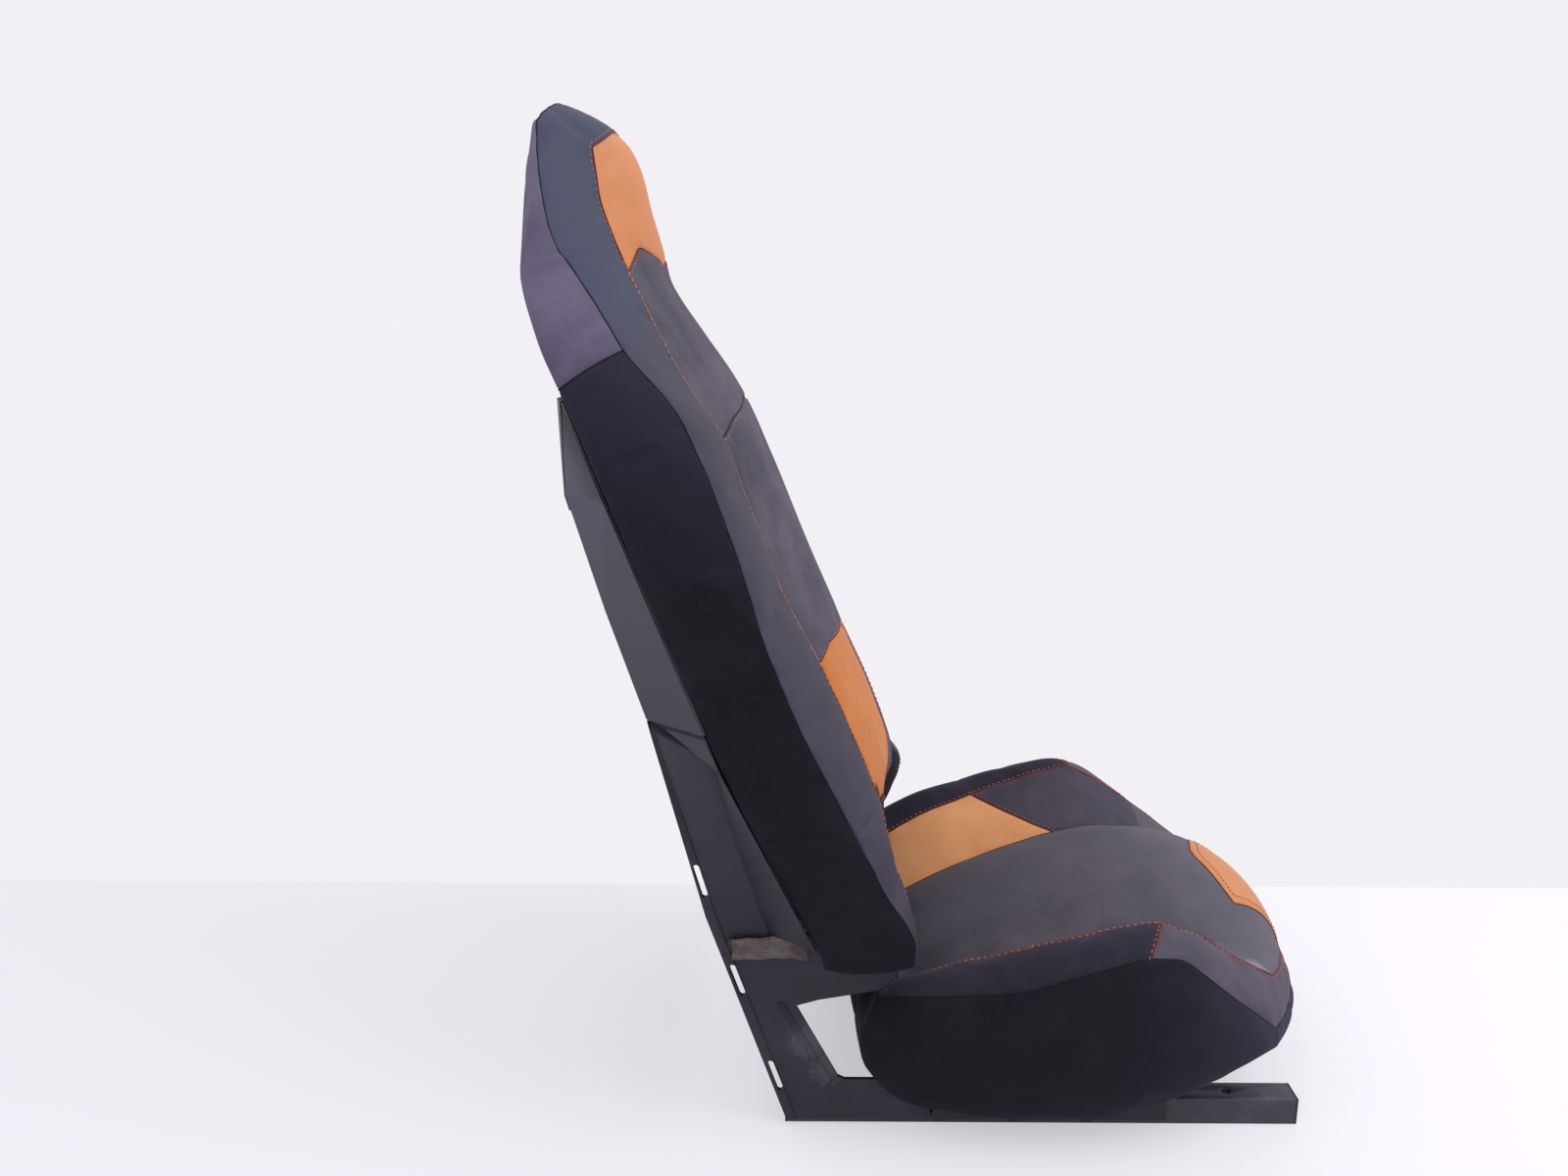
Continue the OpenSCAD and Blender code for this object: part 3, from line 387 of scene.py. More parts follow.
# coated polyurethane vinyl: soft shine with a fine pebbled grain
stripVinyl = vinylMaterial("charcoalVinyl", {
    "grainMm": 1.3, "dark": "#2a2536", "mid": "#322c40", "light": "#3c364b", "dirt": 0.12,
    "dirtColour": "#7c7886", "bump": 0.25, "rough": 0.62, "specular": 0.4, "sheen": 0.0,
    "wearScale": 12.0, "bleach": ("Z", "#3a4057", 0.64, 0.73, 0.85)})
orangeVinyl = vinylMaterial("orangeVinyl", {
    "grainMm": 1.2, "dark": "#bd6a2e", "mid": "#c77638", "light": "#d2864a", "dirt": 0.2,
    "dirtColour": "#8a4a24", "bump": 0.2, "rough": 0.5, "specular": 0.2, "sheen": 0.0,
    "wearScale": 10.0, "bleach": ("Z", "#dc9a72", 0.66, 0.86, 0.6),
    "spots": [((-0.152, -0.137, 0.305), 0.018, "#2c2119", 0.95, 500.0)]})
# the same vinyl painted paler on the seat's side pads and on its nose, as painted light where light falls on
# them, less so towards the nose
orangeVinylPaintedLight = vinylMaterial("orangeVinylPaintedLighter", {
    "grainMm": 1.2, "dark": "#dc9660", "mid": "#e8a470", "light": "#f0b080", "dirt": 0.2,
    "dirtColour": "#a4623a", "bump": 0.2, "rough": 0.5, "specular": 0.2, "sheen": 0.0,
    "wearScale": 10.0, "bleach": ("X", "#c98658", -0.03, 0.1, 0.9)})
# bonded polyester sewing thread, 0.6 mm thick, drawn at 1 mm: once orange, bleached to tan
threadTan = wovenMaterial("tanPolyesterThread", {
    **threadLook, "dark": "#a05c48", "light": "#c98a74", "lint": "#e0b09a", "rough": 0.7,
    "sheenTint": "#ffb090", "specular": 0.3, "fadeScale": 40.0})
threadRed = wovenMaterial("darkRedPolyesterCord", {
    **threadLook, "dark": "#6e2a20", "light": "#8c3c2c", "lint": "#a05a4c", "rough": 0.75,
    "sheenTint": "#c08070", "specular": 0.25, "fadeScale": 40.0})
threadBlack = wovenMaterial("blackSeamEdge", {
    **threadLook, "dark": "#14121a", "light": "#1f1c27", "lint": "#5c5866", "dust": 0.2,
    "rough": 0.85, "sheenTint": "#8a86a8"})
# a pale cord along the seam on the insert's sides, where the edge stands proud: a painted highlight
seamEdgePaintedHighlight = wovenMaterial("seamEdgePaintedHighlightCord", {
    **threadLook, "dark": "#7c7678", "light": "#a39a9a", "lint": "#d6ccc8", "dust": 0.2,
    "rough": 0.85, "sheenTint": "#d0c8c8"})
# nylon webbing with a 1.8 mm rib across, greyed by dust
webbing = wovenMaterial("greyNylonWebbing", {
    "threadMm": 1.8, "dark": "#635959", "light": "#877c7b", "lint": "#a39a98", "dust": 0.35,
    "contrast": 0.3, "bump": 0.9, "rough": 0.92, "sheen": 0.2, "sheenTint": "#c8c4c0",
    "specular": 0.2, "fadeScale": 60.0, "panels": False})
# injection-moulded polypropylene: satin black with a fine spark texture and grey road dust
# the shell is painted lighter from 0.2 m up to 0.6 m as light falling on its upper flare, and left darker low
# down as painted shade under the cushion
shellPlastic = mouldedMaterial("blackPolypropylene", {
    "dark": "#1c1a24", "light": "#282532", "dust": 0.2, "dustColour": "#746e82", "dustScale": 18.0,
    "scuff": 0.12, "scuffColour": "#7a7482", "edge": 0.0012, "bump": 0.25, "rough": 0.5,
    "specular": 0.4, "bleach": ("Z", "#605b6b", 0.2, 0.6, 0.8),
    "spots": [((-0.213, -0.176, 0.084), 0.034, "#6c6a70", 0.35, 160.0),
              ((-0.196, -0.176, 0.056), 0.03, "#6c6a70", 0.3, 160.0)]})
# pale grey for the wing edges: a painted highlight where the lip catches light
shellEdgePaintedHighlight = mouldedMaterial("rubbedPolypropyleneEdge", {
    "dark": "#4e4a55", "light": "#7c7782", "dust": 0.3, "dustColour": "#8f8a95", "dustScale": 40.0,
    "scuff": 0.2, "scuffColour": "#9a95a0", "edge": 0.0004, "bump": 0.2, "rough": 0.6,
    "specular": 0.3, "bleach": ("Z", "#8a8590", 0.4, 0.65, 0.5)})
# powder-coated steel tube: slightly glossy, rubbed and dusty
# the tubes are painted lighter along their top, as light falling on it
railPaint = mouldedMaterial("blackPowderCoatedSteel", {
    "dark": "#2e2b35", "light": "#3b3743", "dust": 0.35, "dustColour": "#8a8490", "dustScale": 30.0,
    "scuff": 0.2, "scuffColour": "#8b8690", "edge": 0.0016, "bump": 0.18, "rough": 0.45,
    "specular": 0.5, "bleach": ("Z", "#6f6880", 0.024, 0.034, 0.75)})
panPlastic = mouldedMaterial("blackNylonPan", {
    "dark": "#1c1b20", "light": "#26242b", "dust": 0.3, "dustColour": "#7d7a7e", "dustScale": 22.0,
    "scuff": 0.08, "scuffColour": "#66646a", "edge": 0.001, "bump": 0.2, "rough": 0.55,
    "specular": 0.4, "bleach": ("Z", "#2c2a32", 0.1, 0.6, 0.5)})
# fasteners: black-oxide steel on the frame, zinc plate inside, turned brass inserts
blackSteel = metalMaterial("blackOxideSteel", {"dark": "#2c2b30", "light": "#45434a", "rough": 0.5})
zincSteel = metalMaterial("zincPlatedSteel", {"dark": "#8d9094", "light": "#b9bcc0", "rough": 0.38})
brassInsert = metalMaterial("machinedBrass", {"dark": "#a88445", "light": "#c9a55c", "rough": 0.35})
print("materials made")


# cushions: a front grid, a band round it in steps, and a rear grid, all one closed skin

def loopOrder(rows, cols):
    # border of a grid: up the right side, across the end, down the left side and back
    n, m = rows - 1, cols - 1
    return ([(i, 0) for i in range(n)] + [(n, j) for j in range(m)]
            + [(i, m) for i in range(n, 0, -1)] + [(0, j) for j in range(m, 0, -1)])


def skinCushion(name, front, loops, rear):
    # front and rear are (rows, cols, 3) arrays, loops a list of (border, 3) arrays between them
    rows, cols = front.shape[:2]
    border = loopOrder(rows, cols)
    count = len(border)
    edge = np.array([front[i, j] for i, j in border])
    rings = [[i * cols + j for i, j in border]]
    base = rows * cols
    rings += [list(range(base + k * count, base + (k + 1) * count)) for k in range(len(loops))]
    base += count * len(loops)
    rearIndex = {(i, j): rings[-1][k] for k, (i, j) in enumerate(border)}
    inner = [(i, j) for i in range(1, rows - 1) for j in range(1, cols - 1)]
    rearIndex.update({cell: base + k for k, cell in enumerate(inner)})
    points = np.vstack([front.reshape(-1, 3), *loops, np.array([rear[c] for c in inner])])
    # cloth coordinates in metres, measured along the cloth, so patterns keep their true size
    middle = cols // 2
    across = np.cumsum(np.linalg.norm(np.diff(front, axis=1, prepend=front[:, :1]), axis=2), axis=1)
    across -= across[:, middle:middle + 1]
    upward = np.cumsum(np.linalg.norm(np.diff(front[:, middle], axis=0, prepend=front[:1, middle]), axis=1))
    along = np.cumsum(np.linalg.norm(np.diff(edge, axis=0, prepend=edge[:1]), axis=1))
    along = np.append(along, along[-1] + np.linalg.norm(edge[0] - edge[-1]))
    stack = np.array([edge, *loops])
    outward = np.cumsum(np.linalg.norm(np.diff(stack, axis=0, prepend=stack[:1]), axis=2), axis=0)
    faces, tags, cloth = [], [], []
    for i in range(rows - 1):
        for j in range(cols - 1):
            cells = ((i, j), (i, j + 1), (i + 1, j + 1), (i + 1, j))
            faces.append([r * cols + c for r, c in cells])
            cloth += [(across[r, c], upward[r]) for r, c in cells]
            tags.append(("front", i, j))
    for k in range(len(rings) - 1):
        for t in range(count):
            u = (t + 1) % count
            faces.append((rings[k][t], rings[k][u], rings[k + 1][u], rings[k + 1][t]))
            cloth += [(along[t], outward[k, t]), (along[t + 1], outward[k, u]),
                      (along[t + 1], outward[k + 1, u]), (along[t], outward[k + 1, t])]
            tags.append(("band", k, t))
    for i in range(rows - 1):
        for j in range(cols - 1):
            cells = ((i, j), (i + 1, j), (i + 1, j + 1), (i, j + 1))
            faces.append([rearIndex[c] for c in cells])
            cloth += [(across[c], upward[c[0]]) for c in cells]
            tags.append(("rear", i, j))
    mesh = bpy.data.meshes.new(name)
    mesh.from_pydata((points * mm).tolist(), [], faces)
    layer = mesh.uv_layers.new(name="cloth")
    layer.data.foreach_set("uv", (np.array(cloth) * mm).reshape(-1))
    tri = points[[f[:3] for f in faces]]
    volume = np.sum(np.einsum("ij,ij->i", tri[:, 0], np.cross(tri[:, 1], tri[:, 2])))
    if volume < 0:
        mesh.flip_normals()
    mesh.update()
    return newObject(name, mesh), rings, tags


def coons(border, rows, cols):
    # fills the inside of a border with a smooth sheet
    order = loopOrder(rows, cols)
    grid = np.zeros((rows, cols, 3))
    for (i, j), p in zip(order, border):
        grid[i, j] = p
    v = np.linspace(0, 1, rows)[:, None, None]
    u = np.linspace(0, 1, cols)[None, :, None]
    sides = (1 - u) * grid[:, :1] + u * grid[:, -1:]
    ends = (1 - v) * grid[:1] + v * grid[-1:]
    corners = ((1 - u) * (1 - v) * grid[0, 0] + u * (1 - v) * grid[0, -1]
               + (1 - u) * v * grid[-1, 0] + u * v * grid[-1, -1])
    return sides + ends - corners


def between(a, b, fractions, bulge, centre):
    # rings from loop a to loop b, raised outwards by bulge in the middle of the way
    run = np.roll(a, -1, axis=0) - np.roll(a, 1, axis=0)
    out = unit(np.cross(run, b - a))
    away = a - centre
    flip = np.sign(np.sum(out * away, axis=1))
    flip[flip == 0] = 1
    out = out * flip[:, None]
    size = np.asarray(bulge, float)
    size = size[:, None] if size.ndim else size
    return [a + (b - a) * f + out * size * 4 * f * (1 - f) for f in fractions]


clothSet = {"quality": 6, "mass": 0.3, "tension": 12.0, "shear": 6.0, "bending": 0.8, "pressure": 4.0,
            "slack": 0.012, "frames": 20}


def puff(obj, pinned, cap, settings):
    # air pressure under pinned seams fills each panel; no point moves more than its cap
    group = obj.vertex_groups.new(name="seams")
    for index, weight in enumerate(pinned):
        if weight > 0:
            group.add([index], float(weight), "REPLACE")
    rest = np.zeros(len(obj.data.vertices) * 3)
    obj.data.vertices.foreach_get("co", rest)
    rest = rest.reshape(-1, 3)
    cloth = obj.modifiers.new("airPressure", "CLOTH")
    sim = cloth.settings
    sim.quality = settings["quality"]
    sim.mass = settings["mass"]
    sim.tension_stiffness = settings["tension"]
    sim.compression_stiffness = settings["tension"]
    sim.shear_stiffness = settings["shear"]
    sim.bending_stiffness = settings["bending"]
    sim.use_pressure = True
    sim.uniform_pressure_force = settings["pressure"]
    sim.shrink_min = -settings["slack"]
    sim.vertex_group_mass = "seams"
    sim.pin_stiffness = 1.0
    sim.effector_weights.gravity = 0
    cloth.collision_settings.use_collision = False
    scene.frame_start, scene.frame_end = 1, settings["frames"]
    cloth.point_cache.frame_start = 1
    cloth.point_cache.frame_end = settings["frames"]
    for step in range(1, settings["frames"] + 1):
        scene.frame_set(step)
    graph = bpy.context.evaluated_depsgraph_get()
    done = obj.evaluated_get(graph)
    moved = np.zeros_like(rest).reshape(-1)
    done.data.vertices.foreach_get("co", moved)
    moved = moved.reshape(-1, 3)
    obj.modifiers.remove(cloth)
    scene.frame_set(1)
    step = moved - rest
    size = np.linalg.norm(step, axis=1)
    limit = np.asarray(cap) * mm
    scale = np.minimum(1, limit / np.maximum(size, 1e-9))
    result = rest + step * scale[:, None]
    obj.data.vertices.foreach_set("co", result.reshape(-1))
    obj.data.update()
    obj.vertex_groups.clear()
    print(obj.name, "puffed by up to", round(float(np.max(size)) / mm, 1), "mm")


def borderLoop(order, u, stations, place, farMiddle, nearMiddle, power):
    # a line round a cushion: place gives its x, y and z at a station, and across the two ends
    # it rises to a middle point, given as x and z
    out = []
    for i, j in order:
        x, y, z = place(stations[i])
        if j in (0, len(u) - 1):
            out.append((x, -y if j == 0 else y, z))
            continue
        middle = farMiddle if i else nearMiddle
        rise = 1 - abs(u[j]) ** power
        out.append((x + (middle[0] - x) * rise, u[j] * y, z + (middle[1] - z) * rise))
    return np.array(out, float)


# back cushion

backSet = {
    # height stations of each line, with the distance forward or the half width
    "rearX": [[178, -200], [346, -282], [660, -408], [700, -428], [754, -445], [815, -444], [868, -437]],
    "rearY": [[178, 205], [346, 217], [600, 221], [660, 212], [700, 190], [754, 150], [815, 124],
              [868, 100]],
    "creaseX": [[178, -122], [196, -122], [210, -127], [239, -145], [277, -164], [330, -190],
                [398, -223], [464, -249], [526, -268], [572, -284], [617, -302], [646, -317],
                [690, -356], [716, -374], [747, -397], [773, -416], [800, -425], [840, -433],
                [868, -436]],
    "creaseY": [[178, 204], [300, 220], [450, 228], [640, 225], [690, 212], [722, 190], [762, 166],
                [812, 141], [868, 106]],
    "seamX": [[178, -118], [215, -126], [250, -137], [300, -151], [370, -179], [426, -205],
              [490, -237], [566, -266], [618, -286], [654, -311], [711, -342], [738, -356],
              [775, -375], [811, -389], [852, -396], [872, -400]],
    "seamY": [[178, 176], [250, 152], [300, 140], [650, 140], [711, 134], [738, 124], [775, 104],
              [811, 86], [852, 75], [872, 75]],
    "frontX": [[178, -160], [217, -160], [243, -157], [256, -149], [266, -139], [275, -130],
               [285, -127], [305, -131], [355, -150],
               [417, -178], [496, -212], [585, -249], [640, -274], [697, -312], [728, -334],
               [745, -343], [758, -345], [775, -349], [804, -357], [834, -364], [856, -374],
               [872, -387]],
    # key rows: height at the seam, at the crease, at the rear edge, and across the insert
    # as heights at the seam, at the share notchAt of the half width, and at the centre
    "rows": [
        {"seam": 182, "crease": 173, "rear": 171, "across": (182, 182, 182), "tight": False},
        {"seam": 300, "crease": 300, "rear": 300, "across": (300, 291, 276), "tight": True},
        {"seam": 424, "crease": 424, "rear": 424, "across": (424, 431, 424), "tight": True},
        {"seam": 617, "crease": 634, "rear": 604, "across": (617, 629, 640), "tight": True},
        {"seam": 672, "crease": 691, "rear": 660, "across": (672, 682, 692), "tight": True},
        {"seam": 751, "crease": 762, "rear": 746, "across": (750, 771, 755), "tight": True},
        {"seam": 852, "crease": 868, "rear": 867, "across": (852, 864, 871), "tight": False}],
    # middle points of the crease and of the rear edge at both ends, as x and z
    "creaseTop": (-429, 892), "creaseFoot": (-158, 172), "rearTop": (-437, 888), "rearFoot": (-200, 170),
    "rowStep": 8.0, "wedgeHalf": 0.2, "notchAt": 0.68, "endPower": 2.3,
    "stripBulge": 2.5, "sideBulge": 6.0, "stripWidth": 88, "sideWidth": 140,
    # the left side pad has been leaned on less and stands fuller at its lower end
    "fuller": [[170, 1], [185, 6], [205, 16], [228, 24], [250, 15], [275, 5], [305, 0], [900, 0]],
    "cap": {"insert": 1.6, "orange": 1.4, "strip": 2.2, "head": 3.0, "side": 5.0}}


def makeBack():
    s = backSet
    line = {k: curveThrough(s[k]) for k in ("rearX", "rearY", "creaseX", "creaseY", "seamX", "seamY",
                                            "frontX")}
    keys = s["rows"]
    stops = [k["seam"] for k in keys]
    v = chain(stops, s["rowStep"], [k["tight"] for k in keys])
    keyAt = np.arange(len(keys))
    creaseZ = np.interp(v, keyAt, [k["crease"] for k in keys])
    rearZ = np.interp(v, keyAt, [k["rear"] for k in keys])
    half = [0.0, 0.1, s["wedgeHalf"], 0.26]
    half += list(np.linspace(0.26, s["notchAt"], 7)[1:]) + list(np.linspace(s["notchAt"], 0.955, 6)[1:])
    half += [0.98, 1.0]
    u = np.array([-h for h in reversed(half)] + half[1:])
    rows, cols = len(v), len(u)
    # the dark wedge narrows between the lumbar rows, so its columns close up there
    narrow = np.interp(v, [0, 1, 2, 2.35, 6], [1, 1, 0.1, 1, 1])
    front = np.zeros((rows, cols, 3))
    for i in range(rows):
        w = s["wedgeHalf"]
        au = np.abs(u)
        bent = np.where(au <= w, au * narrow[i], w * narrow[i] + (au - w) / (1 - w) * (1 - w * narrow[i]))
        uu = np.sign(u) * bent
        shapes = [np.interp(np.abs(uu), [0, s["notchAt"], 1], k["across"][::-1]) for k in keys]
        top = 852 + 19 * (1 - uu * uu)
        shapes[-1] = top
        lo = int(min(math.floor(v[i]), len(keys) - 2))
        z = shapes[lo] + (shapes[lo + 1] - shapes[lo]) * (v[i] - lo)
        xs, xf, ys = line["seamX"](z), line["frontX"](z), line["seamY"](z)
        # the pad is fuller in the middle than at its lower end, where it curls back to the seams
        power = np.interp(z, [250, 290, 320, 380], [1.1, 0.9, 1.35, 2.1])
        hollow = np.interp(z, [200, 232, 262, 283, 293], [0, 4, 7, 6, 0]) * 4 * np.abs(uu) * (1 - np.abs(uu))
        front[i] = np.stack([xs + (xf - xs) * (1 - np.abs(uu) ** power) - hollow, uu * ys, z], axis=1)
    order = loopOrder(rows, cols)
    n, m = rows - 1, cols - 1
    seam = np.array([front[i, j] for i, j in order])
    crease = borderLoop(order, u, creaseZ, lambda z: (line["creaseX"](z), line["creaseY"](z), z),
                        s["creaseTop"], s["creaseFoot"], s["endPower"])
    rearEdge = borderLoop(order, u, rearZ, lambda z: (line["rearX"](z), line["rearY"](z), z),
                          s["rearTop"], s["rearFoot"], s["endPower"])
    centre = np.array([np.interp(p[2], [178, 660, 890], [-170, -350, -410]) for p in seam])
    centre = np.stack([centre, np.zeros(len(seam)), seam[:, 2]], axis=1)
    centre[[k for k, (i, j) in enumerate(order) if i == n], 2] -= 60
    centre[[k for k, (i, j) in enumerate(order) if i == 0], 2] += 60
    stripF = spread(s["stripWidth"], 9.0)
    sideF = spread(s["sideWidth"], 10.0, end=(2.5, 6.0, 12.0))
    thin = np.array([1.0 if j in (0, m) else 0.25 for i, j in order])
    strips = between(seam, crease, stripF[1:], s["stripBulge"] * thin, centre)
    headward = np.interp(seam[:, 2], [640, 720], [1.0, 0.5])
    sides = between(crease, rearEdge, sideF[1:], s["sideBulge"] * thin * headward, centre)
    extra = curveThrough(s["fuller"])
    for part in (front.reshape(-1, 3), *strips, *sides):
        leftward = np.clip((part[:, 1] - 70) / 60, 0, 1) * np.clip((part[:, 0] + 190) / 50, 0, 1)
        part[:, 0] += extra(part[:, 2]) * leftward
    # the edge that meets the shell is turned in
    for ring, inset in zip(sides[-3:], (0.0, 1.2, 4.0)):
        ring[:, 1] -= np.sign(ring[:, 1]) * inset * thin
    rear = coons(sides[-1], rows, cols)
    swell = np.interp(rear[:, :, 2], [650, 740, 860], [0, 7, 2])
    across = np.linspace(-1, 1, cols)[None, :]
    rear[:, :, 0] -= swell * (1 - across ** 2)
    obj, rings, tags = skinCushion("back_cushion", front, strips + sides, rear)
    stripEnd = len(strips)
    info = {"rings": rings, "tags": tags, "rows": rows, "cols": cols, "order": order, "u": u,
            "stripEnd": stripEnd, "keyRow": [int(np.argmin(np.abs(v - k))) for k in keyAt]}
    return obj, info


def assignFaces(obj, materials, choose, tags):
    obj.data.materials.clear()
    names = list(materials)
    for name in names:
        obj.data.materials.append(materials[name])
    index = np.array([names.index(choose(*tag)) for tag in tags], dtype=np.int32)
    obj.data.polygons.foreach_set("material_index", index)
    obj.data.polygons.foreach_set("use_smooth", np.ones(len(tags), dtype=bool))


def gridIndex(info, i, j):
    return i * info["cols"] + j


def seamVertices(info, gridRows, gridCols, ringRows=()):
    # vertices of the sewn lines: rows and columns of the front grid, and whole rings
    out = set()
    for i, js in gridRows:
        out |= {gridIndex(info, i, j) for j in js}
    for j, rows in gridCols:
        out |= {gridIndex(info, i, j) for i in rows}
    for ring in ringRows:
        out |= set(info["rings"][ring])
    return out


def panelBack(info):
    k = info["keyRow"]
    u = info["u"]
    order = info["order"]

    def choose(kind, a, b):
        if kind == "rear":
            return "side"
        if kind == "front":
            mid = abs(u[b] + u[b + 1]) / 2
            if k[1] <= a < k[2]:
                return "insert" if mid < backSet["wedgeHalf"] else "orange"
            if a >= k[5]:
                return "orange"
            if a < k[1]:
                return "side"
            return "insert"
        if a < info["stripEnd"]:
            return "strip"
        low = min(order[b][0], order[(b + 1) % len(order)][0])
        return "head" if low >= k[4] else "side"
    return choose


backCushion, backInfo = makeBack()
print("back cushion laid out:", len(backCushion.data.vertices), "points")


# seat cushion

seatSet = {
    "crestZ": [[-122, 135], [-111, 141], [-68, 161], [-38, 171], [-7, 182], [24, 192], [56, 202],
               [92, 208], [105, 202], [123, 193], [143, 181], [171, 162], [205, 139]],
    "crestY": [[-122, 153], [-68, 166], [-38, 171], [-7, 176], [56, 183], [92, 185], [123, 179],
               [171, 168], [205, 153]],
    "valleyZ": [[-118, 86], [-97, 98], [-62, 115], [-22, 132], [18, 147], [59, 159], [94, 164],
                [125, 162], [150, 159], [170, 154]],
    "valleyY": [[-118, 100], [-62, 106], [59, 112], [94, 115], [125, 118], [170, 124]],
    "centreZ": [[-118, 96], [-60, 126], [0, 154], [40, 169], [94, 186], [120, 188.5], [150, 188],
                [172, 185], [200, 177], [215, 168]],
    "lineZ": [[-148, 132], [-140, 136], [-122, 142], [-90, 148], [-60, 153], [-33, 158], [-3, 169], [28, 181],
              [52, 190], [72, 196], [96, 196], [105, 191], [118, 180], [149, 153], [168, 137],
              [196, 110]],
    "lineY": [[-148, 180], [-122, 197], [-60, 212], [12, 222], [90, 227], [125, 224], [155, 216],
              [185, 200], [196, 192]],
    "lowZ": [[-159, 56], [-147, 44], [-115, 33], [-62, 28], [-10, 27], [41, 29], [67, 35],
             [92, 41], [114, 48], [136, 57], [154, 64], [172, 73], [188, 84]],
    "lowY": [[-159, 174], [-120, 194], [-10, 206], [100, 204], [172, 188], [188, 178]],
    # key rows: distance forward at the crest, the valley and the centre, then on the two lower lines
    "rows": [
        {"crest": -122, "valley": -124, "centre": -126, "line": -148, "low": -159, "tight": False},
        {"crest": -22, "valley": 60, "centre": 70, "line": -30, "low": -40, "tight": True},
        {"crest": 92, "valley": 118, "centre": 128, "line": 72, "low": 66, "tight": True},
        {"crest": 160, "valley": 158, "centre": 170, "line": 150, "low": 140, "tight": False},
        {"crest": 205, "valley": 240, "centre": 261, "line": 196, "low": 188, "tight": False}],
    "frontCentre": (261, 101), "frontCorner": (205, 153, 139),
    "rowStep": 8.0, "valleyAt": 0.62, "wedgeBulge": -1.5, "sideBulge": 10.0,
    "bandBulge": [[-148, 4], [-110, 7], [-40, 9], [60, 8], [110, 4.5], [200, 3]],
    # the left side pad has been sat on less and stands fuller
    "fuller": [[-148, 3], [-110, 8], [-60, 11], [0, 9], [60, 3], [110, 0], [205, 0]],
    "cap": {"seat": 3.0, "orange": 0.8, "insert": 1.0, "band": 3.5, "front": 2.5, "side": 6.0},
    # the hem follows the edge of the pan
    "hemZ": [[-150, 50.5], [78, 50.5], [100, 59], [168, 85.5]],
    "hemY": [[-147, 160], [-122, 183], [118, 183], [168, 124]],
    # middle points of the line, of the lower line and of the hem at both ends, as x and z
    "lineFront": (264, 88), "lineRear": (-158, 106), "lowFront": (257, 78), "lowRear": (-163, 54),
    "hemFront": (168, 85.5), "hemRear": (-147, 50.5), "endPower": 1.9, "hemPower": 1.5,
    "bandWidth": 42, "sideWidth": 150}


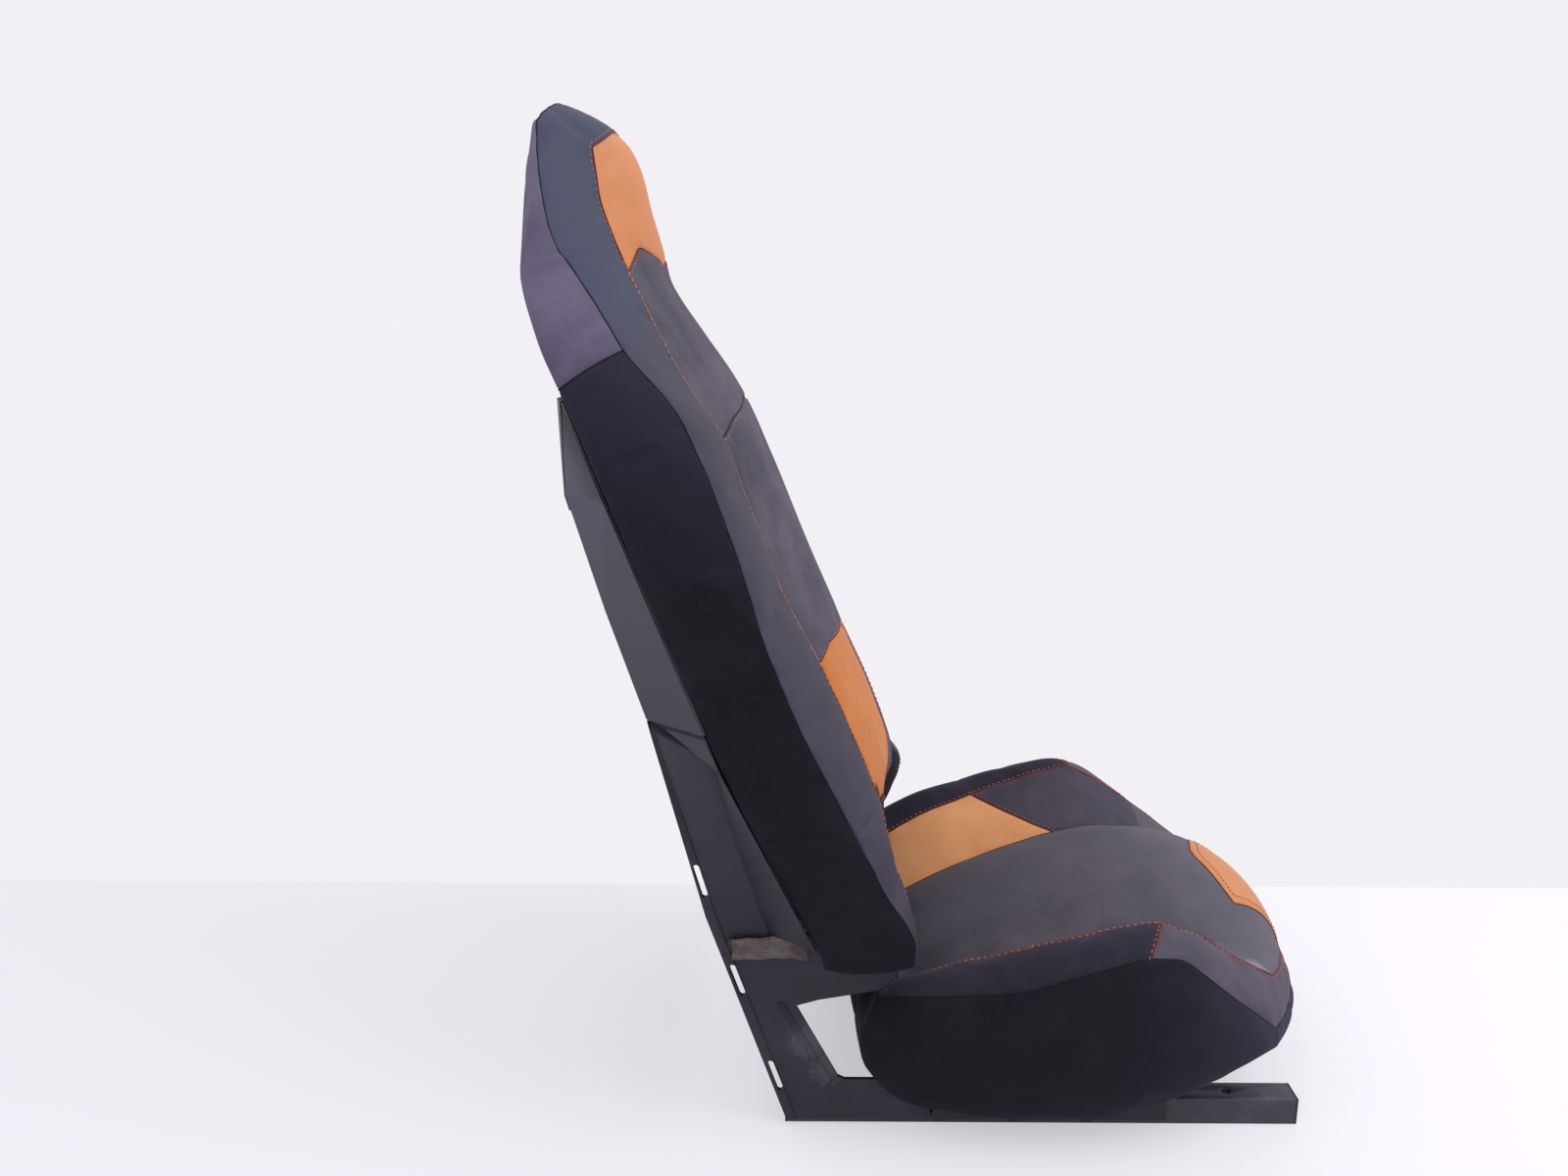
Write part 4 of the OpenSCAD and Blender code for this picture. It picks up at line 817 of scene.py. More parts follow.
def makeSeat():
    s = seatSet
    line = {k: curveThrough(s[k]) for k in ("crestY", "crestZ", "valleyY", "valleyZ", "centreZ", "lineY",
                                            "lineZ", "lowY", "lowZ", "hemY", "hemZ", "bandBulge", "fuller")}
    keys = s["rows"]
    keyAt = np.arange(len(keys))
    v = chain([k["crest"] for k in keys], s["rowStep"], [k["tight"] for k in keys])
    ub = s["valleyAt"]
    half = [h * ub for h in np.linspace(0, 1, 10)[:-1]] + [ub - 0.012, ub, ub + 0.012]
    half += [ub + (1 - ub) * f for f in (0.08, 0.2, 0.34, 0.48, 0.62, 0.76, 0.88, 0.95, 0.98, 1.0)]
    half = sorted(set(round(h, 4) for h in half))
    u = np.array([-h for h in reversed(half)] + half[1:])
    rows, cols = len(v), len(u)
    au = np.abs(u)
    crestX = np.interp(v, keyAt, [k["crest"] for k in keys])
    valleyX = np.interp(v, keyAt, [k["valley"] for k in keys])
    centreX = np.interp(v, keyAt, [k["centre"] for k in keys])

    def surface(i):
        xc, xv, xm = crestX[i], valleyX[i], centreX[i]
        pc = np.array([xc, line["crestY"](xc), line["crestZ"](xc)])
        pv = np.array([xv, line["valleyY"](xv), line["valleyZ"](xv)])
        pm = np.array([xm, 0.0, line["centreZ"](xm)])
        out = np.zeros((cols, 3))
        for j in range(cols):
            a = au[j]
            if a <= ub:
                t = a / ub
                p = pm + (pv - pm) * t * t
                p[1] = pv[1] * t
            else:
                t = (a - ub) / (1 - ub)
                p = pv + (pc - pv) * t
                p[2] += s["wedgeBulge"] * 4 * t * (1 - t)
            p[1] *= np.sign(u[j]) if u[j] else 1
            out[j] = p
        return out

    front = np.zeros((rows, cols, 3))
    turn = len(keys) - 2
    for i in range(rows):
        if v[i] <= turn:
            front[i] = surface(i)
    last = int(np.max(np.nonzero(v <= turn)))
    lead = unit(front[last] - front[last - 1])
    cx, cy, cz = s["frontCorner"]
    fx, fz = s["frontCentre"]
    frontSeam = np.stack([cx + (fx - cx) * (1 - au ** 1.7), cy * u, cz + (fz - cz) * (1 - au ** 1.6)], axis=1)
    straight = unit(frontSeam - front[last])
    droop = np.array([0.36, 0.0, -0.93])
    endDir = unit(droop + (straight - droop) * (au ** 2)[:, None])
    reach = np.linalg.norm(frontSeam - front[last], axis=1)[:, None]
    for i in range(last + 1, rows):
        t = v[i] - turn
        h0, h1 = 2 * t ** 3 - 3 * t ** 2 + 1, -2 * t ** 3 + 3 * t ** 2
        d0, d1 = t ** 3 - 2 * t ** 2 + t, t ** 3 - t ** 2
        full = reach * (1.1 + 0.1 * (1 - au ** 2))[:, None]
        front[i] = h0 * front[last] + h1 * frontSeam + d0 * lead * full + d1 * endDir * full
    order = loopOrder(rows, cols)
    lineX = np.interp(v, keyAt, [k["line"] for k in keys])
    lowX = np.interp(v, keyAt, [k["low"] for k in keys])
    crest = np.array([front[i, j] for i, j in order])
    hemX = np.interp(v, [0, len(keys) - 1], [s["hemRear"][0], s["hemFront"][0]])
    middle, low, hem = (
        borderLoop(order, u, xs, lambda x: (x, line[k + "Y"](x), line[k + "Z"](x)), s[k + "Front"],
                   s[k + "Rear"], power)
        for k, xs, power in (("line", lineX, s["endPower"]), ("low", lowX, s["endPower"]),
                             ("hem", hemX, s["hemPower"])))
    centre = np.stack([crest[:, 0] * 0.6, crest[:, 1] * 0.0, np.full(len(crest), 90.0)], axis=1)
    swell = line["bandBulge"](crest[:, 0])
    swell = swell + np.where(crest[:, 1] > 0, line["fuller"](crest[:, 0]), 0)
    strips = between(crest, middle, spread(s["bandWidth"], 8.0)[1:], swell, centre)
    sides = between(middle, low, spread(s["sideWidth"], 10.0, end=(3.0, 8.0))[1:], s["sideBulge"], centre)
    under = between(low, hem, [0.12, 0.5, 1.0], 0.0, centre)
    bottom = coons(hem, rows, cols)
    bottom[:, :, 2] = np.maximum(bottom[:, :, 2], line["hemZ"](bottom[:, :, 0]))
    obj, rings, tags = skinCushion("seat_cushion", front, strips + sides + under, bottom)
    info = {"rings": rings, "tags": tags, "rows": rows, "cols": cols, "order": order, "u": u,
            "stripEnd": len(strips), "sideEnd": len(strips) + len(sides),
            "keyRow": [int(np.argmin(np.abs(v - k))) for k in keyAt]}
    return obj, info


def panelSeat(info):
    k = info["keyRow"]
    u = info["u"]
    order = info["order"]

    def choose(kind, a, b):
        if kind == "rear":
            return "side"
        if kind == "band":
            low = min(order[b][0], order[(b + 1) % len(order)][0])
            if a >= info["stripEnd"]:
                return "side"
            return "front" if low >= k[2] else "band"
        mid = abs(u[b] + u[b + 1]) / 2
        if mid < seatSet["valleyAt"] or a >= k[3]:
            return "seat"
        return "orange" if a < k[1] else "insert"
    return choose


seatCushion, seatInfo = makeSeat()
print("seat cushion laid out:", len(seatCushion.data.vertices), "points")


drapeSet = {"sink": 1.1, "pucker": 0.9, "puckerLength": 15.0, "reach": 13.0, "wave": 0.7, "waveLength": 70.0}


def drape(obj, creases, still, seed):
    # sewn lines sink a little, the cloth puckers beside them and the panels wave slightly
    count = len(obj.data.vertices)
    normals, place = np.zeros(count * 3), np.zeros(count * 3)
    obj.data.vertices.foreach_get("normal", normals)
    obj.data.vertices.foreach_get("co", place)
    normals, place = normals.reshape(-1, 3), place.reshape(-1, 3)
    near = KDTree(len(creases))
    for index in creases:
        near.insert(place[index], index)
    near.balance()
    d = drapeSet
    shift = np.zeros(count)
    for index in range(count):
        if index in creases:
            shift[index] = -d["sink"]
            continue
        if index in still:
            continue
        away = near.find(place[index])[2] / mm
        beside = math.exp(-(away / d["reach"]) ** 2)
        spot = Vector(place[index]) / mm
        fine = noise.noise(spot / d["puckerLength"] + Vector((seed, 0, 0)))
        broad = noise.noise(spot / d["waveLength"] + Vector((0, seed, 0)))
        shift[index] = d["pucker"] * fine * beside + d["wave"] * broad * (1 - beside)
    place += normals * (shift * mm)[:, None]
    obj.data.vertices.foreach_set("co", place.reshape(-1))
    obj.data.update()


def dressCushion(obj, info, materials, choose, pins, caps, creases, still, seed):
    count = len(obj.data.vertices)
    pinned = np.zeros(count)
    for index in pins:
        pinned[index] = 1.0
    assignFaces(obj, materials, choose, info["tags"])
    # each panel may swell by its own amount, in millimetres
    cap = np.full(count, 100.0)
    for face, tag in zip(obj.data.polygons, info["tags"]):
        for index in face.vertices:
            cap[index] = min(cap[index], caps[choose(*tag)])
    puff(obj, pinned, cap, clothSet)
    drape(obj, creases, still, seed)
    sub = obj.modifiers.new("smooth", "SUBSURF")
    sub.levels = sub.render_levels = 1


backRows, backCols = backInfo["rows"], backInfo["cols"]
bk = backInfo["keyRow"]
allCols = range(backCols)
backSeams = seamVertices(
    backInfo, [(bk[1], allCols), (bk[2], allCols), (bk[3], allCols), (bk[5], allCols)], [],
    ringRows=(0, backInfo["stripEnd"]))
shoulder = [ring[t] for ring in backInfo["rings"][backInfo["stripEnd"]:]
            for t, (i, j) in enumerate(backInfo["order"]) if i == bk[4] and j in (0, backCols - 1)]
rearPins = set(range(backInfo["rings"][-1][0], len(backCushion.data.vertices)))
dressCushion(backCushion, backInfo,
             {"side": sideCloth, "head": headClothPaintedLight, "strip": stripVinyl, "insert": insertCloth,
              "orange": orangeVinyl},
             panelBack(backInfo), backSeams | rearPins | set(shoulder), backSet["cap"],
             backSeams | set(shoulder), rearPins, 3.0)
sk = seatInfo["keyRow"]
valleyCols = [int(np.argmin(np.abs(seatInfo["u"] - side * seatSet["valleyAt"]))) for side in (-1, 1)]
seatSeams = seamVertices(
    seatInfo, [(sk[1], [j for j in range(seatInfo["cols"]) if abs(seatInfo["u"][j]) >= seatSet["valleyAt"]])],
    [(j, range(sk[3])) for j in valleyCols], ringRows=(0, seatInfo["stripEnd"]))
junction = [ring[t] for ring in seatInfo["rings"][:seatInfo["stripEnd"] + 1]
            for t, (i, j) in enumerate(seatInfo["order"]) if i == sk[2] and j in (0, seatInfo["cols"] - 1)]
underPins = set(range(seatInfo["rings"][seatInfo["sideEnd"] + 1][0], len(seatCushion.data.vertices)))
dressCushion(seatCushion, seatInfo,
             {"side": sideCloth, "seat": seatCloth, "insert": insertCloth, "orange": orangeVinylPaintedLight,
              "band": bandClothPaintedLight, "front": frontCloth},
             panelSeat(seatInfo), seatSeams | underPins | set(junction), seatSet["cap"],
             seatSeams | set(junction), underPins, 11.0)


# stitches and cords, laid on the finished cloth

stitchSet = {"pitch": 6.0, "length": 4.2, "width": 1.0, "turn": 6.0, "seed": 4}


def newGroup(name, wanted):
    # a geometry group with named inputs; returns it with its input and output nodes
    group = bpy.data.node_groups.new(name, "GeometryNodeTree")
    group.interface.new_socket("Geometry", in_out="INPUT", socket_type="NodeSocketGeometry")
    for label, kind in wanted:
        group.interface.new_socket(label, in_out="INPUT", socket_type="NodeSocket" + kind)
    group.interface.new_socket("Geometry", in_out="OUTPUT", socket_type="NodeSocketGeometry")
    return group, group.nodes.new("NodeGroupInput"), group.nodes.new("NodeGroupOutput")


def makeStitchGroup():
    group, given, out = newGroup("stitchRow", [
        ("Pitch", "Float"), ("Length", "Float"), ("Width", "Float"), ("Turn", "Float"), ("Seed", "Int"),
        ("Material", "Material")])
    curve = addNode(group, "GeometryNodeMeshToCurve", Mesh=(given, "Geometry"))
    points = addNode(group, "GeometryNodeResampleCurve", {"mode": "LENGTH"}, in0=curve, in3=(given, "Pitch"))
    ball = addNode(group, "GeometryNodeMeshUVSphere", Segments=6, Rings=4, Radius=0.5)
    size = addNode(group, "ShaderNodeCombineXYZ", X=(given, "Length"), Y=(given, "Width"),
                   Z=(given, "Width"))
    stitch = addNode(group, "GeometryNodeTransform", Geometry=(ball, "Mesh"), Scale=size)
    run = addNode(group, "GeometryNodeInputTangent")
    away = addNode(group, "GeometryNodeInputNamedAttribute", {"data_type": "FLOAT_VECTOR"}, Name="outward")
    turn = addNode(group, "FunctionNodeAlignRotationToVector", {"axis": "X"}, Vector=run)
    flat = addNode(group, "FunctionNodeAlignRotationToVector", {"axis": "Z", "pivot_axis": "X"},
                   Rotation=turn, Vector=(away, 0))
    less = multiply(group, (given, "Turn"), -1.0)
    sway = addNode(group, "FunctionNodeRandomValue", in2=less, in3=(given, "Turn"), in8=(given, "Seed"))
    lean = addNode(group, "FunctionNodeAxisAngleToRotation", Axis=(0, 0, 1), Angle=(sway, 1))
    final = addNode(group, "FunctionNodeRotateRotation", {"rotation_space": "LOCAL"}, in0=flat, in1=lean)
    row = addNode(group, "GeometryNodeInstanceOnPoints", Points=points, Instance=stitch, Rotation=final)
    real = addNode(group, "GeometryNodeRealizeInstances", Geometry=row)
    soft = addNode(group, "GeometryNodeSetShadeSmooth", Geometry=real)
    done = addNode(group, "GeometryNodeSetMaterial", Geometry=soft, Material=(given, "Material"))
    group.links.new(done.outputs[0], out.inputs[0])
    return group


def makeCordGroup():
    group, given, out = newGroup("weltCord", [("Thick", "Float"), ("Material", "Material")])
    curve = addNode(group, "GeometryNodeMeshToCurve", Mesh=(given, "Geometry"))
    radius = multiply(group, (given, "Thick"), 0.5)
    ring = addNode(group, "GeometryNodeCurvePrimitiveCircle", Resolution=8, Radius=radius)
    tube = addNode(group, "GeometryNodeCurveToMesh", Curve=curve, in1=ring, in3=True)
    soft = addNode(group, "GeometryNodeSetShadeSmooth", Geometry=tube)
    real = addNode(group, "GeometryNodeRealizeInstances", Geometry=soft)
    done = addNode(group, "GeometryNodeSetMaterial", Geometry=real, Material=(given, "Material"))
    group.links.new(done.outputs[0], out.inputs[0])
    return group


stitchRow, weltCord = makeStitchGroup(), makeCordGroup()


def closedPiece(name, points, faces):
    # a smooth piece with all its faces turned outwards
    mesh = bpy.data.meshes.new(name)
    mesh.from_pydata(points, [], faces)
    shape = bmesh.new()
    shape.from_mesh(mesh)
    bmesh.ops.recalc_face_normals(shape, faces=shape.faces)
    shape.to_mesh(mesh)
    shape.free()
    mesh.polygons.foreach_set("use_smooth", np.ones(len(mesh.polygons), dtype=bool))
    return newObject(name, mesh)


def alongPaths(name, paths, group, values):
    # runs a group over drawn lines and keeps the result as a plain mesh
    points, outward, edges = [], [], []
    for line, normals in paths:
        base = len(points)
        points += [tuple(p) for p in line]
        outward += [tuple(n) for n in normals]
        edges += [(base + i, base + i + 1) for i in range(len(line) - 1)]
    mesh = bpy.data.meshes.new(name + "Lines")
    mesh.from_pydata(points, edges, [])
    attribute = mesh.attributes.new("outward", "FLOAT_VECTOR", "POINT")
    attribute.data.foreach_set("vector", np.array(outward, float).reshape(-1))
    obj = newObject(name, mesh)
    modifier = obj.modifiers.new("rows", "NODES")
    modifier.node_group = group
    for item in group.interface.items_tree:
        if item.in_out == "INPUT" and item.name in values:
            modifier[item.identifier] = values[item.name]
    graph = bpy.context.evaluated_depsgraph_get()
    made = bpy.data.meshes.new_from_object(obj.evaluated_get(graph))
    obj.modifiers.remove(modifier)
    obj.data = made
    return obj


def skinOf(obj):
    # the finished cloth: where each laid-out point came to lie, and a tree for finding the surface
    graph = bpy.context.evaluated_depsgraph_get()
    done = obj.evaluated_get(graph)
    mesh = done.to_mesh()
    place = np.zeros(len(mesh.vertices) * 3)
    mesh.vertices.foreach_get("co", place)
    done.to_mesh_clear()
    return place.reshape(-1, 3), BVHTree.FromObject(obj, graph)


def seamPath(skin, line, beside, away, lift):
    # a line on the cloth, away millimetres from the seam towards the points beside it
    place, tree = skin
    points, off = place[line], place[beside] - place[line]
    length = np.concatenate([[0], np.cumsum(np.linalg.norm(np.diff(points, axis=0), axis=1))])
    at = np.linspace(0, length[-1], max(4, int(length[-1] / (2.5 * mm))))
    points = np.stack([np.interp(at, length, points[:, c]) for c in range(3)], axis=1)
    off = np.stack([np.interp(at, length, off[:, c]) for c in range(3)], axis=1)
    run = unit(np.gradient(points, axis=0))
    off = unit(off - run * np.sum(off * run, axis=1, keepdims=True))
    out, normals = [], []
    for p, o in zip(points, off):
        found, normal = tree.find_nearest(Vector(p + o * away * mm))[:2]
        out.append(found + normal * lift * mm)
        normals.append(normal)
    return np.array(out), np.array(normals)


backSkin, seatSkin = skinOf(backCushion), skinOf(seatCushion)


def ringRun(info, ring, start, stop, step=1):
    # indices along part of a ring, with those of the neighbouring ring
    rings = info["rings"]
    return rings[ring][start:stop], rings[ring + step][start:stop]


def rowRun(info, i, js, step):
    return [gridIndex(info, i, j) for j in js], [gridIndex(info, i + step, j) for j in js]


def columnRun(info, j, rows, step):
    return [gridIndex(info, i, j) for i in rows], [gridIndex(info, i, j + step) for i in rows]


def backLines():
    n, m = backInfo["rows"] - 1, backInfo["cols"] - 1
    whole = ringRun(backInfo, 0, 0, 2 * n + m + 1)
    inner = range(1, m)
    headFace = rowRun(backInfo, bk[5], inner, -1)
    rows = [(whole, 3.8), (headFace, 3.0), (rowRun(backInfo, bk[3], inner, -1), 3.0),
            (rowRun(backInfo, bk[1], inner, -1), 3.0), (rowRun(backInfo, bk[2], inner, 1), 3.0)]
    order = backInfo["order"]
    wedge = int(np.argmin(np.abs(backInfo["u"] - backSet["wedgeHalf"])))
    rows += [(ringRun(backInfo, 0, bk[2], bk[5]), 1.7),
             (ringRun(backInfo, 0, 2 * n + m + 1 - bk[5], 2 * n + m + 1 - bk[2]), 1.7)]
    for j, step in ((wedge, -1), (m - wedge, 1)):
        rows.append((columnRun(backInfo, j, range(bk[1], bk[2] + 1), step), 3.0))
    # red piping frames the orange panels
    welts = [rowRun(backInfo, bk[5], inner, 1), rowRun(backInfo, bk[1], inner, 1),
             rowRun(backInfo, bk[2], inner, 1), ringRun(backInfo, 0, bk[5], 2 * n + m + 1 - bk[5]),
             ringRun(backInfo, 0, bk[1], bk[2] + 1),
             ringRun(backInfo, 0, 2 * n + m - bk[2], 2 * n + m + 1 - bk[1])]
    end = backInfo["stripEnd"]
    fold = [ringRun(backInfo, end, 0, 2 * n + m + 1), rowRun(backInfo, bk[3], inner, 1)]
    for j in (0, m):
        t = order.index((bk[4], j))
        across = [backInfo["rings"][r][t] for r in range(end, len(backInfo["rings"]))]
        fold.append((across, [backInfo["rings"][r][t + 1] for r in range(end, len(backInfo["rings"]))]))
    near = [t for t, (i, j) in enumerate(order) if j == 0 and bk[2] <= i <= bk[5]]
    far = [t for t, (i, j) in enumerate(order) if j == m and bk[2] <= i <= bk[5]]
    # pale cords on the seam beside the insert's sides: painted highlight
    highlightRuns = [ringRun(backInfo, 0, near[0], near[-1] + 1), ringRun(backInfo, 0, far[0], far[-1] + 1)]
    return rows, welts, highlightRuns, fold


def seatLines():
    order = seatInfo["order"]
    n, m = seatInfo["rows"] - 1, seatInfo["cols"] - 1
    end = seatInfo["stripEnd"]
    crest = ringRun(seatInfo, 0, 0, 2 * n + m + 1)
    rows = [(crest, 2.6)]
    welts = [crest]
    for j in (0, m):
        t = order.index((sk[2], j))
        down = [seatInfo["rings"][r][t] for r in range(end + 1)]
        rearward = -1 if j == 0 else 1
        rows.append(((down, [seatInfo["rings"][r][t + rearward] for r in range(end + 1)]), 2.0))
        welts.append((down, [seatInfo["rings"][r][t + 1] for r in range(end + 1)]))
    # the orange wedge's front end, on both bolsters
    near, far = range(0, valleyCols[0] + 1), range(valleyCols[1], m + 1)
    for js in (near, far):
        rows.append((rowRun(seatInfo, sk[1], js, 1), 3.0))
        welts.append(rowRun(seatInfo, sk[1], js, 1))
    under = [ringRun(seatInfo, end, 0, 2 * n + m + 1)]
    under += [columnRun(seatInfo, j, range(1, sk[3]), 1) for j in valleyCols]
    return rows, welts, under


def sewAll():
    backRuns, backWelts, highlightRuns, fold = backLines()
    seatRuns, seatWelts, under = seatLines()
    s = stitchSet
    values = {"Pitch": s["pitch"] * mm, "Length": s["length"] * mm, "Width": s["width"] * mm,
              "Turn": math.radians(s["turn"]), "Seed": s["seed"], "Material": threadTan}
    for name, skin, runs in (("back_stitching", backSkin, backRuns), ("seat_stitching", seatSkin, seatRuns)):
        paths = [seamPath(skin, line, beside, away, 0.25) for (line, beside), away in runs]
        finishPiece(alongPaths(name, paths, stitchRow, values))
    for name, skin, lines, finish, thick, lift in (
            ("back_piping", backSkin, backWelts, threadRed, 1.1, 0.35),
            ("seat_piping", seatSkin, seatWelts, threadRed, 1.1, 0.4),
            ("back_fold_seam", backSkin, fold, threadBlack, 1.3, 0.15),
            ("seat_lower_seam", seatSkin, under, threadBlack, 1.1, 0.15),
            ("back_seam_edge", backSkin, highlightRuns, seamEdgePaintedHighlight, 0.8, 0.45)):
        paths = [seamPath(skin, line, beside, 0.0, lift) for line, beside in lines]
        values = {"Thick": thick * mm, "Material": finish}
        finishPiece(alongPaths(name, paths, weltCord, values))


sewAll()
print("seams sewn")


# nose patch: a sewn-on shield of orange vinyl, laid over the front of the seat cushion

patchSet = {"pivot": (150, 100), "bottom": 3.0,
            # angle of the upper edge by share of the width, and half width by angle
            "top": [[0, 73.5], [0.14, 73], [0.5, 67.3], [0.78, 62.3], [1, 56.6]],
            "halves": [[3, 42], [22, 48], [29, 52], [42.6, 62], [56.6, 72]],
            "thick": 1.3, "rows": 26, "cols": 29}


def makePatch():
    s = patchSet
    tree = seatSkin[1]
    rows, cols = s["rows"], s["cols"]
    grid = np.zeros((rows, cols, 3))
    normals = np.zeros((rows, cols, 3))
    for i in range(rows):
        for j in range(cols):
            u = 2 * j / (cols - 1) - 1
            top = float(np.interp(abs(u), *zip(*s["top"])))
            phi = s["bottom"] + (top - s["bottom"]) * i / (rows - 1)
            half = float(np.interp(phi, *zip(*s["halves"])))
            y = half * u
            start = Vector((s["pivot"][0], y, s["pivot"][1])) * mm
            aim = Vector((math.cos(math.radians(phi)), 0, math.sin(math.radians(phi))))
            hit, normal = tree.ray_cast(start, aim)[:2]
            grid[i, j], normals[i, j] = hit, normal
    edgeDrop = np.ones((rows, cols)) * s["thick"]
    edgeDrop[[0, -1], :] = 0.25
    edgeDrop[:, [0, -1]] = 0.25
    top = grid + normals * (edgeDrop * mm)[:, :, None]
    under = grid - normals * 0.8 * mm
    order = loopOrder(rows, cols)
    points = np.vstack([top.reshape(-1, 3), under.reshape(-1, 3)])
    base = rows * cols
    faces = []
    for i in range(rows - 1):
        for j in range(cols - 1):
            a, b, c, d = i * cols + j, i * cols + j + 1, (i + 1) * cols + j + 1, (i + 1) * cols + j
            faces += [(a, b, c, d), (base + d, base + c, base + b, base + a)]
    ring = [i * cols + j for i, j in order]
    faces += [(ring[(k + 1) % len(ring)], ring[k], base + ring[k], base + ring[(k + 1) % len(ring)])
              for k in range(len(ring))]
    patch = closedPiece("seat_patch", points.tolist(), faces)
    # piping on the edge and a row of stitches inside the border
    lines = []
    for inset in (0, 2):
        path, out = [], []
        for i, j in order:
            i2 = min(max(i, inset), rows - 1 - inset)
            j2 = min(max(j, inset), cols - 1 - inset)
            p = top[i2, j2] + normals[i2, j2] * 0.2 * mm
            if not path or np.linalg.norm(p - path[-1]) > 1e-5:
                path.append(p)
                out.append(normals[i2, j2])
        path.append(path[0])
        out.append(out[0])
        lines.append((np.array(path), np.array(out)))
    return patch, lines


seatPatch, patchLines = makePatch()
finishPiece(seatPatch, material=orangeVinylPaintedLight)
finishPiece(alongPaths("patch_piping", patchLines[:1], weltCord, {"Thick": 0.9 * mm, "Material": threadRed}))
patchStitches = alongPaths("patch_stitching", patchLines[1:], stitchRow, {
    "Pitch": 4.6 * mm, "Length": 3.4 * mm, "Width": 0.9 * mm, "Turn": 0.08, "Seed": 9, "Material": threadRed})
finishPiece(patchStitches)
print("nose patch laid")


finishPiece(backCushion, replaces=("back_cover", "back_foam"))
finishPiece(seatCushion, replaces=("seat_cover", "seat_foam"))
print("cushions dressed")


# pull strap: doubled webbing through the slit in the shell, frayed at its loose end

strapSet = {
    # path in plan, from the screwed tail inside the shell to the loose end outside
    "path": [[-248, -168], [-236, -168], [-224, -168], [-217.5, -168.3], [-214.5, -170.5], [-213.5, -174],
             [-214, -176.8], [-220, -178.2], [-232, -178.3], [-245, -178], [-258, -178.4],
             [-270, -178.4], [-279, -178.2]],
    # along the path: share of it, lower edge, upper edge, how far it is folded double
    "edges": [[0, 166, 186, 0], [0.3, 166, 186, 0], [0.42, 165.5, 188, 0.3], [0.52, 168.5, 188.6, 0.8],
              [0.66, 167.8, 187.6, 1], [0.82, 166.6, 186.2, 1], [1, 166.8, 185.6, 0.9]],
    "thick": 3.0, "lobe": 3.0, "frayed": 26, "seed": 5}


def makeStrap():
    s = strapSet
    plan = np.array(s["path"], float)
    length = np.concatenate([[0], np.cumsum(np.linalg.norm(np.diff(plan, axis=0), axis=1))])
    share = np.linspace(0, 1, 73)
    curves = [curveThrough([[a, c] for a, c in zip(length / length[-1], plan[:, k])]) for k in (0, 1)]
    x, y = curves[0](share), curves[1](share)
    low, high, fold = (np.interp(share, *zip(*[(row[0], row[k]) for row in s["edges"]])) for k in (1, 2, 3))
    run = unit(np.stack([np.gradient(x), np.gradient(y)], axis=1))
    across = np.stack([run[:, 1], -run[:, 0]], axis=1)
    around = 28
    rows = []
    for k in range(len(share)):
        tall, mid = (high[k] - low[k]) / 2, (high[k] + low[k]) / 2
        mid += 0.5 * math.sin(share[k] * 31) * fold[k]
        ring = []
        for q in range(around):
            a = 2 * math.pi * q / around
            w = math.cos(a)
            flatW = abs(w) ** 0.35 * (1 if w > 0 else -1)
            depth = math.sin(a)
            flatN = abs(depth) ** 0.45 * (1 if depth > 0 else -1) * s["thick"] / 2
            # two rounded rolls with a crease between them
            crease = math.exp(-(flatW / 0.16) ** 2)
            puffed = s["lobe"] * math.sqrt(max(0.0, 1 - (2 * abs(flatW) - 1) ** 2)) + s["thick"] * 0.4
            rolled = (1 if depth > 0 else -1) * abs(depth) ** 0.3 * (puffed - 2.2 * crease)
            n = flatN * (1 - fold[k]) + rolled * fold[k]
            n += 0.25 * math.sin(share[k] * 90 + flatW * 5) * fold[k]
            ring.append((x[k] + across[k, 0] * n, y[k] + across[k, 1] * n, mid + flatW * tall))
        rows.append(ring)
    points = np.array(rows).reshape(-1, 3) * mm
    faces = [(r * around + q, r * around + (q + 1) % around, (r + 1) * around + (q + 1) % around,
              (r + 1) * around + q) for r in range(len(share) - 1) for q in range(around)]
    faces += [tuple(range(around))[::-1], tuple((len(share) - 1) * around + q for q in range(around))]
    points = points.tolist()
    # loose threads at the frayed end
    rng = np.random.default_rng(s["seed"])
    for thread in range(s["frayed"]):
        z = rng.uniform(low[-1] + 1, high[-1] - 0.5)
        start = np.array([x[-1] + 1.5, y[-1] + rng.uniform(-2.4, 1.4), z])
        reach = rng.uniform(2.5, 6.5)
        bend = np.array([0, rng.uniform(-0.35, 0.25), rng.uniform(-0.5, 0.4)])
        base = len(points)
        for step in range(5):
            t = step / 4
            centre = start + np.array([-reach * t, 0, 0]) + bend * reach * t * t
            thin = 0.32 * (1 - 0.6 * t)
            points += [list((centre + np.array([0, math.cos(c), math.sin(c)]) * thin) * mm)
                       for c in (0, math.pi / 2, math.pi, 3 * math.pi / 2)]
        for step in range(4):
            for c in range(4):
                a, b = base + step * 4 + c, base + step * 4 + (c + 1) % 4
                faces.append((a, b, b + 4, a + 4))
        faces += [(base + 3, base + 2, base + 1, base), tuple(base + 16 + c for c in range(4))]
    return closedPiece("strap_webbing", points, faces)


finishPiece(makeStrap(), material=webbing, replaces=("pull_strap",))
print("strap laid")


# moulded and folded pieces: a merged copy of the solid with its edges rounded stands for it

